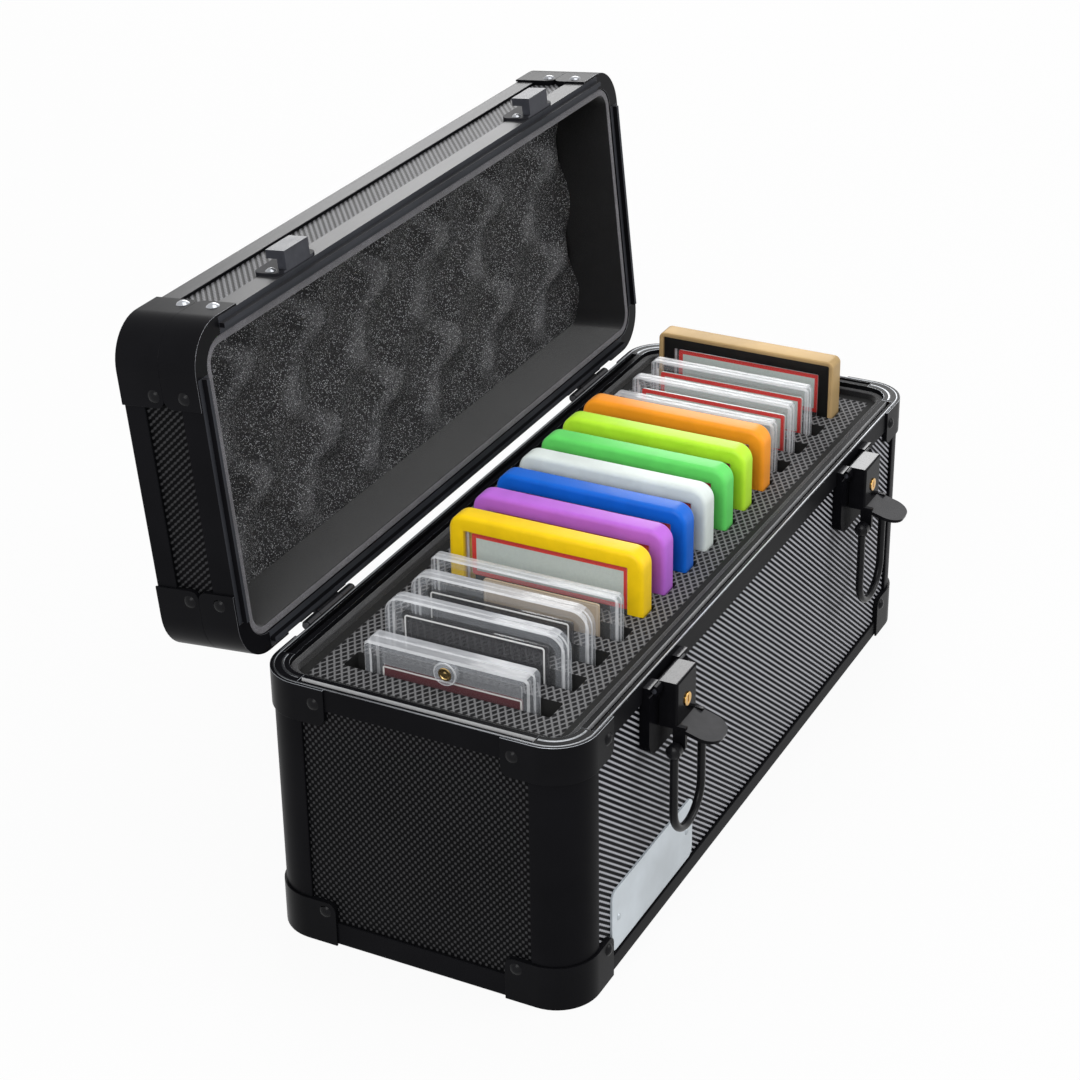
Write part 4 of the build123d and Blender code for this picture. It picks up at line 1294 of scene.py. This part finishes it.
@dataclass
class CardRow:
    """The fifteen slabs in their slots."""

    pitch: float = 0.0218
    seat: float = 0.0048
    lip: float = 0.0004
    slope: float = 0.0006
    seam: float = 0.0005
    top_tilt: float = 0.8
    sheet: float = 0.0010
    sheet_corner: float = 0.001
    sheet_room: float = 0.0004
    label_height: float = 0.0200
    label_drop: float = 0.0065
    label_band: float = 2.1
    tan_width: float = 0.054
    tan_shift: float = -0.007
    smoke_size: Point = (0.0655, 0.0315)
    smoke_low: float = 0.0965
    card_width: float = 0.0635
    card_height: float = 0.0889
    card_low: float = 0.0143
    card_band: float = 2.4
    block_card_drop: float = 0.013
    block_card_band: float = 0.8
    bumper_width: float = 0.092
    bumper_height: float = 0.143
    bumper_thickness: float = 0.0106
    bumper_corner: float = 0.0074
    bumper_border: float = 0.0074
    bumper_ease: float = 0.0021
    ease_steps: int = 5
    inner_lip: tuple[Point, ...] = ((-0.0009, 0.0), (-0.0003, -0.0002), (0.0, -0.0008))
    tuck: float = 0.0031
    frame_corner: float = 0.0032
    frame_border: float = 0.0024
    frame_ease: float = 0.0008
    gasket: float = 0.0054
    gasket_drop: float = 0.0012
    gasket_crown: Point = (0.0004, 0.0010)
    gasket_from: float = 0.0002
    nest_depth: float = 0.0034
    line_inset: float = 0.0092
    line_width: float = 0.0006
    line_rise: float = 0.0020
    line_corner: float = 0.0105
    line_depth: float = 0.00015
    magnet_drop: float = 0.0065
    button_profile: tuple[Point, ...] = (
        (0.0007, 0.0003), (0.0010, 0.0001), (0.0019, 0.0001), (0.0022, 0.0004), (0.0027, 0.0004),
        (0.0030, 0.0002), (0.0042, 0.0001), (0.0046, 0.0004), (0.0050, 0.0004), (0.0053, 0.0),
        (0.0053, -0.0025))
    button_steps: int = 40
    button_depth: float = 0.001
    brass_reach: float = 0.0031
    boss_reach: float = 0.0044
    frost_gap: float = 0.0006
    pane: ClearPlastic = ClearPlastic("clear_pane", (0.86, 0.89, 0.93), 0.045)
    smoke: ClearPlastic = ClearPlastic("smoked_label", (0.05, 0.05, 0.055), 0.55)
    frost: ClearPlastic = ClearPlastic("frosted_core", (0.30, 0.31, 0.33), 0.5)
    rim: ClearPlastic = ClearPlastic("clear_rim", (0.74, 0.78, 0.84), 0.16, 0.05)
    # Painted highlight: a whiter, denser clear finish on the eased edges of the shells and the magnet boss.
    edge: ClearPlastic = ClearPlastic("clear_edge_highlight", (0.90, 0.92, 0.95), 0.5, 0.12)
    # Painted highlight: a whiter, denser clear finish on the shells' top faces, standing for their
    # reflection.
    top: ClearPlastic = ClearPlastic("clear_top_highlight", (0.84, 0.86, 0.90), 0.42, 0.1)
    line: PrintedSheet = PrintedSheet("white_line", (0.85, 0.85, 0.85), (0.85, 0.85, 0.85), 1.0, 1.0,
                                      0.1, 0.1)
    gold: SatinMetal = SatinMetal("gold_frame", (0.47, 0.325, 0.155), 0.36, 0.1, 0.0, 0.04, 0.03)
    black_gasket: Silicone = Silicone("black_gasket", (0.006, 0.006, 0.006), 0.4)
    brass: GlossPlate = GlossPlate("magnet_brass", (0.60, 0.42, 0.18), 0.25, 1.0, 0.1)

    def looks(self) -> list[SlabLook]:
        """Lay out the row.

        Returns:
            Each slab's look, from the left end to the right end.
        """
        plain = HolderKind()
        rounded = HolderKind(height=0.1358, thickness=0.0074, corner=0.008, rim=0.0046)
        wide = HolderKind(width=0.088, height=0.1322)
        block = HolderKind(width=0.075, height=0.128, thickness=0.011, rim=0.0035, step=0.0004, ease=0.0009)
        label = self.label_sheet("red_label", (0.62, 0.70, 0.665), (0.74, 0.02, 0.014), plain)
        tan_print = PrintedSheet("tan_label", (0.62, 0.50, 0.37), (0.72, 0.62, 0.50),
                                 self.tan_width / MM / 2, self.label_height / MM / 2, margin=0.6, band=0.5)
        smoke = Sheet(*self.smoke_size, self.smoke_low, self.smoke)
        low = wide.height - self.label_drop - self.label_height
        tan = Sheet(self.tan_width, self.label_height, low, tan_print, self.tan_shift)
        grey = self.card_sheet("grey_card", (0.10, 0.095, 0.09), (0.30, 0.29, 0.28), self.card_low,
                               self.card_band)
        high = block.height - self.block_card_drop - self.card_height
        wine = self.card_sheet("wine_card", (0.09, 0.006, 0.012), (0.75, 0.74, 0.72), high,
                               self.block_card_band)
        bumpers = {"yellow": (1.0, 0.66, 0.004), "purple": (0.52, 0.15, 0.72), "blue": (0.002, 0.135, 0.66),
                   "white": (0.77, 0.84, 0.81), "green": (0.14, 0.74, 0.145), "lime": (0.54, 0.92, 0.04),
                   "orange": (0.98, 0.34, 0.018)}
        row = [SlabLook(block, card=wine, magnet=True)]
        row += [SlabLook(rounded, smoke, grey, lined=True)] * 2 + [SlabLook(wide, tan, grey)]
        row += [SlabLook(plain, label, grey, Silicone(f"bumper_{name}", color))
                for name, color in bumpers.items()]
        row += [SlabLook(plain, label, grey)] * 3 + [SlabLook(plain, label, grey, framed=True)]
        return row

    def label_sheet(self, name: str, paper: Color, border: Color, holder: HolderKind) -> Sheet:
        """Lay a label across the top of a holder, printed with a border.

        Args:
            name: The print's name.
            paper: Its ground.
            border: Its border's colour.
            holder: The holder it is for.

        Returns:
            The label.
        """
        width = holder.width - 2 * holder.rim - self.sheet_room
        low = holder.height - self.label_drop - self.label_height
        finish = PrintedSheet(name, paper, border, width / MM / 2, self.label_height / MM / 2, 0.0,
                              self.label_band)
        return Sheet(width, self.label_height, low, finish)

    def card_sheet(self, name: str, ground: Color, border: Color, low: float, band: float) -> Sheet:
        """Stand a card in a holder, printed with a border.

        Args:
            name: The print's name.
            ground: Its ground.
            border: Its border's colour.
            low: The card's lower edge above the holder's.
            band: The border's width, in millimetres.

        Returns:
            The card.
        """
        finish = PrintedSheet(name, ground, border, self.card_width / MM / 2, self.card_height / MM / 2,
                              0.0, band)
        return Sheet(self.card_width, self.card_height, low, finish)

    def build(self, shop: MeshShop) -> None:
        """Build every slab.

        Args:
            shop: Makes the pieces.
        """
        row = self.looks()
        for index, look in enumerate(row):
            node = f"card_slab_{index + 1:02d}"
            wrapped = look.bumper is not None or look.framed
            lift = self.seat + ((self.bumper_height - look.holder.height) / 2 if wrapped else 0.0)
            x = (index - (len(row) - 1) / 2) * self.pitch
            self.build_slab(shop, Seat(node, shop.body_of[node], x, lift), look)

    def build_slab(self, shop: MeshShop, seat: Seat, look: SlabLook) -> None:
        """Build one slab's pieces.

        Args:
            shop: Makes the pieces.
            seat: Where the slab stands.
            look: What it looks like.
        """
        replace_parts(self.holder_shell(shop, seat, look.holder), seat.node)
        for name, sheet in (("label", look.label), ("card", look.card)):
            if sheet is not None:
                self.add_sheet(shop, seat, name, sheet)
        if look.bumper is not None:
            self.wrap(shop, seat, "bumper", [look.bumper])
        if look.framed:
            self.wrap(shop, seat, "frame", [self.gold, self.black_gasket])
        if look.lined:
            self.white_line(shop, seat, look.holder)
        if look.magnet:
            low = look.card.low + look.card.height + self.frost_gap
            core = Sheet(self.card_width, look.holder.height - look.holder.rim - low, low, self.frost)
            self.add_sheet(shop, seat, "core", core)
            self.magnet_button(shop, seat, look.holder)

    def holder_shell(self, shop: MeshShop, seat: Seat, holder: HolderKind) -> bpy.types.Object:
        """Build a clear shell: a stepped rim with a seam, round a clear pane.

        Args:
            shop: Makes the piece.
            seat: Where the slab stands.
            holder: The shell's sizes.

        Returns:
            The shell.
        """
        half = holder.thickness / 2
        outline = UprightOutline(holder.width, holder.height, holder.corner)
        profile = [(holder.rim + self.lip, half - holder.step), (holder.rim, half - holder.step),
                   (holder.rim - self.slope, half), (holder.ease, half), (0.0, half - holder.ease),
                   (0.0, self.seam), (self.seam, 0.0)]
        loops = [(inset, -depth) for inset, depth in profile]
        loops += [(inset, depth) for inset, depth in reversed(profile[:-1])]
        bm = bmesh.new()
        shop.loft(bm, [seat.ring(outline, inset, depth) for inset, depth in loops], True)

        def pick(middle: Vector, normal: Vector) -> int:
            """Tell the flat pane, the rim, and the eased edges and top faces with painted highlight apart.

            Args:
                middle: The face's middle.
                normal: Its normal.

            Returns:
                The number of its finish.
            """
            part = ShellPart.RIM
            if normal.z > self.top_tilt:
                part = ShellPart.TOP_HIGHLIGHT
            elif abs(normal.x) > EASED[1] and abs(middle.x - seat.x) < half - holder.step / 2:
                part = ShellPart.PANE
            elif eased(normal.x):
                part = ShellPart.EDGE_HIGHLIGHT
            return part.value

        finishes = [self.rim, self.pane, self.edge, self.top]
        return shop.add(f"{seat.node}.shell", bm, finishes, seat.body, "clear_shell", pick, crease=30.0)

    def add_sheet(self, shop: MeshShop, seat: Seat, name: str, sheet: Sheet) -> None:
        """Stand a printed sheet in a holder; its print is laid out about its own middle.

        Args:
            shop: Makes the piece.
            seat: Where the slab stands.
            name: What the sheet is.
            sheet: Its size, place and print.
        """
        outline = UprightOutline(sheet.width, sheet.height, self.sheet_corner, steps=3)
        half = self.sheet / 2
        low = seat.lift + sheet.low
        raised = replace(seat, lift=low)
        bm = bmesh.new()
        loops = [raised.ring(outline, 0.0, depth) for depth in (-half, half)]
        shop.loft(bm, [[p + Vector((0.0, sheet.shift, 0.0)) for p in loop] for loop in loops], True)
        piece = shop.add(f"{seat.node}.{name}", bm, [sheet.finish], seat.body, "clear_shell")
        middle = Vector((sheet.shift, low + sheet.height / 2))
        for entry in piece.data.uv_layers[PLAN_LAYER].data:
            entry.uv = entry.uv - middle

    def wrap(self, shop: MeshShop, seat: Seat, name: str, finishes: Sequence[Finish]) -> None:
        """Wrap a bumper, or a metal frame with a gasket, round a holder.

        Args:
            shop: Makes the piece.
            seat: Where the slab stands.
            name: What the wrap is.
            finishes: Its finishes; with a second one for the gasket it is a frame.
        """
        half = self.bumper_thickness / 2
        framed = len(finishes) > 1
        corner = self.frame_corner if framed else self.bumper_corner
        border = self.frame_border if framed else self.bumper_border
        ease = self.frame_ease if framed else self.bumper_ease
        outline = UprightOutline(self.bumper_width, self.bumper_height, corner, steps=10)
        face = []
        for step in range(self.ease_steps + 1):
            angle = step / self.ease_steps * QUARTER_TURN
            face.append((ease * (1 - math.cos(angle)), half - ease * (1 - math.sin(angle))))
        face += [(border + inset, half + rise) for inset, rise in self.inner_lip]
        inner = border
        if framed:
            inner += self.gasket
            face += [(border, half - self.gasket_drop),
                     (border + self.gasket_crown[0], half - self.gasket_crown[1]),
                     (inner, half - self.gasket_drop)]
        face += [(inner, self.nest_depth), (self.tuck, self.nest_depth)]
        profile = face + [(inset, -depth) for inset, depth in reversed(face)]
        low = replace(seat, lift=self.seat)
        bm = bmesh.new()
        shop.loft(bm, [low.ring(outline, inset, depth) for inset, depth in profile], False)
        limit = border + self.gasket_from

        def pick(middle: Vector, normal: Vector) -> int:
            """Tell the gasket inside a frame's border from the frame."""
            inset = min(self.bumper_width / 2 - abs(middle.y), middle.z - self.seat,
                        self.seat + self.bumper_height - middle.z)
            return int(framed and inset > limit)

        slot = shop.slot_of[seat.node]
        shop.add(f"{seat.node}.{name}", bm, finishes, seat.body, slot, pick, crease=35.0)

    def white_line(self, shop: MeshShop, seat: Seat, holder: HolderKind) -> None:
        """Print a thin line round the window of a holder.

        Args:
            shop: Makes the piece.
            seat: Where the slab stands.
            holder: The holder's sizes.
        """
        half = holder.thickness / 2 - holder.step
        outline = UprightOutline(holder.width, holder.height, self.line_corner, steps=3)
        out, back = -half - self.line_depth, -half + self.line_depth
        far = self.line_inset + self.line_width
        profile = [(self.line_inset, out), (far, out), (far, back), (self.line_inset, back)]
        raised = replace(seat, lift=seat.lift + self.line_rise)
        bm = bmesh.new()
        shop.loft(bm, [raised.ring(outline, inset, depth) for inset, depth in profile], False)
        shop.add(f"{seat.node}.line", bm, [self.line], seat.body, "clear_shell")

    def magnet_button(self, shop: MeshShop, seat: Seat, holder: HolderKind) -> None:
        """Set the round brass magnet in its clear boss near the top of the block holder.

        Args:
            shop: Makes the piece.
            seat: Where the slab stands.
            holder: The holder's sizes.
        """
        face = seat.x - holder.thickness / 2
        middle = Vector((face, 0.0, seat.lift + holder.height - self.magnet_drop))
        turn = [2 * math.pi * i / self.button_steps for i in range(self.button_steps)]
        loops = [[middle + Vector((-out, radius * math.cos(a), radius * math.sin(a))) for a in turn]
                 for radius, out in self.button_profile]
        bm = bmesh.new()
        shop.loft(bm, loops, True)

        def pick(spot: Vector, normal: Vector) -> int:
            """Tell the brass middle, the clear boss round it and the boss's edge with painted highlight
            apart.

            Args:
                spot: The face's middle.
                normal: Its normal.

            Returns:
                The number of its finish.
            """
            far = math.hypot(spot.y - middle.y, spot.z - middle.z)
            part = ButtonPart.EDGE_HIGHLIGHT
            if abs(spot.x - face) > self.button_depth or self.brass_reach <= far < self.boss_reach:
                part = ButtonPart.BOSS
            elif far < self.brass_reach:
                part = ButtonPart.BRASS
            return part.value

        finishes = [self.brass, self.rim, self.edge]
        shop.add(f"{seat.node}.button", bm, finishes, seat.body, "brass", pick)


@dataclass(frozen=True)
class Lamp:
    """One soft area lamp."""

    name: str
    place: Place
    target: Place
    size: Point
    power: float


@dataclass
class Studio:
    """The camera, the floor and the soft light."""

    eye: Place = (-0.9147, -0.4334, 0.6439)
    azimuth: float = -62.466
    elevation: float = 26.908
    roll: float = -0.952
    focal_pixels: float = 2545.97
    frame_pixels: float = 1080.0
    sensor: float = 36.0
    clip_end: float = 50.0
    optical_axis: Point = (528.99, 503.63)
    floor_half: float = 6.0
    floor: StageFloor = StageFloor("pale_floor", (0.70, 0.70, 0.70), 0.93)
    world_light: float = 0.42
    lamps: list[Lamp] = field(default_factory=lambda: [
        Lamp("overhead", (0.1, -0.1, 1.6), (0.0, 0.0, 0.1), (1.2, 0.9), 8.0),
        Lamp("front", (0.7, -1.6, 0.8), (0.05, 0.0, 0.08), (1.0, 0.7), 12.0),
        Lamp("left", (-1.6, -0.2, 1.1), (0.0, 0.0, 0.12), (1.0, 0.8), 18.0),
        Lamp("back", (1.9, 0.9, 1.1), (0.0, 0.0, 0.12), (1.3, 0.95), 20.0),
    ])

    def build(self) -> None:
        """Set up the whole stage."""
        self.set_view()
        self.add_camera()
        self.add_floor()
        self.add_world()
        for lamp in self.lamps:
            self.add_lamp(lamp)

    def set_view(self) -> None:
        """Use the plain view transform."""
        bpy.context.scene.view_settings.view_transform = "Standard"

    def add_camera(self) -> None:
        """Place the camera at the photographed view."""
        az, el, roll = (math.radians(v) for v in (self.azimuth, self.elevation, self.roll))
        back = Vector((math.sin(az) * math.cos(el), -math.cos(az) * math.cos(el), math.sin(el)))
        level = (-back).cross(Vector((0.0, 0.0, 1.0))).normalized()
        upright = level.cross(-back)
        right = math.cos(roll) * level + math.sin(roll) * upright
        up = math.cos(roll) * upright - math.sin(roll) * level
        data = bpy.data.cameras.new("camera")
        data.sensor_width = self.sensor
        data.lens = self.focal_pixels / self.frame_pixels * self.sensor
        middle = self.frame_pixels / 2
        data.shift_x = (middle - self.optical_axis[0]) / self.frame_pixels
        data.shift_y = (self.optical_axis[1] - middle) / self.frame_pixels
        data.clip_end = self.clip_end
        camera = bpy.data.objects.new("camera", data)
        turn = Matrix((right, up, back)).transposed().to_4x4()
        camera.matrix_world = Matrix.Translation(self.eye) @ turn
        bpy.context.scene.collection.objects.link(camera)
        bpy.context.scene.camera = camera

    def add_floor(self) -> None:
        """Lay the pale floor."""
        bm = bmesh.new()
        bmesh.ops.create_grid(bm, x_segments=1, y_segments=1, size=self.floor_half)
        mesh = bpy.data.meshes.new("floor")
        bm.to_mesh(mesh)
        bm.free()
        mesh.materials.append(self.floor.material())
        floor = bpy.data.objects.new("floor", mesh)
        bpy.context.scene.collection.objects.link(floor)

    def add_world(self) -> None:
        """Light the case from all round and show white behind it."""
        graph = SkyGraph("studio")
        soft = graph.node("ShaderNodeBackground", None, {"Color": WHITE, "Strength": self.world_light})
        plain = graph.node("ShaderNodeBackground", None, {"Color": WHITE, "Strength": 1.0})
        shader = graph.node("ShaderNodeMixShader", None,
                            {0: graph.seen_white(), 1: soft.outputs[0], 2: plain.outputs[0]})
        graph.node("ShaderNodeOutputWorld", None, {0: shader.outputs[0]})
        bpy.context.scene.world = graph.world

    @staticmethod
    def add_lamp(lamp: Lamp) -> None:
        """Hang one area lamp.

        Args:
            lamp: The lamp.
        """
        data = bpy.data.lights.new(lamp.name, "AREA")
        data.shape = "RECTANGLE"
        data.size, data.size_y = lamp.size
        data.energy = lamp.power
        made = bpy.data.objects.new(lamp.name, data)
        aim = Vector(lamp.target) - Vector(lamp.place)
        turn = aim.to_track_quat("-Z", "Y").to_matrix().to_4x4()
        made.matrix_world = Matrix.Translation(lamp.place) @ turn
        bpy.context.scene.collection.objects.link(made)


@dataclass(frozen=True)
class LidHinge:
    """The lid's hinge line and how far it stands open."""

    y: float = 0.0738
    z: float = 0.1228
    angle: float = 95.7

    def unfold(self) -> Matrix:
        """The move from the closed lid to the open one."""
        at = Matrix.Translation((0.0, self.y, self.z))
        return at @ Matrix.Rotation(math.radians(-self.angle), 4, "X") @ at.inverted()


def main() -> None:
    """Build every piece in order."""
    logging.basicConfig(level=logging.INFO, format="%(name)s: %(message)s")
    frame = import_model()
    shop = MeshShop(frame, Paintbox(), LidHinge().unfold())
    Studio().build()
    walls = CaseWalls()
    walls.build(shop)
    RimLines(walls).build(shop)
    LabelPlate().build(shop)
    Linings().build(shop)
    EggCrate().build(shop)
    Hardware().build(shop)
    CardRow().build(shop)
    LOG.info("sizes written")


if __name__ == "__main__":
    main()
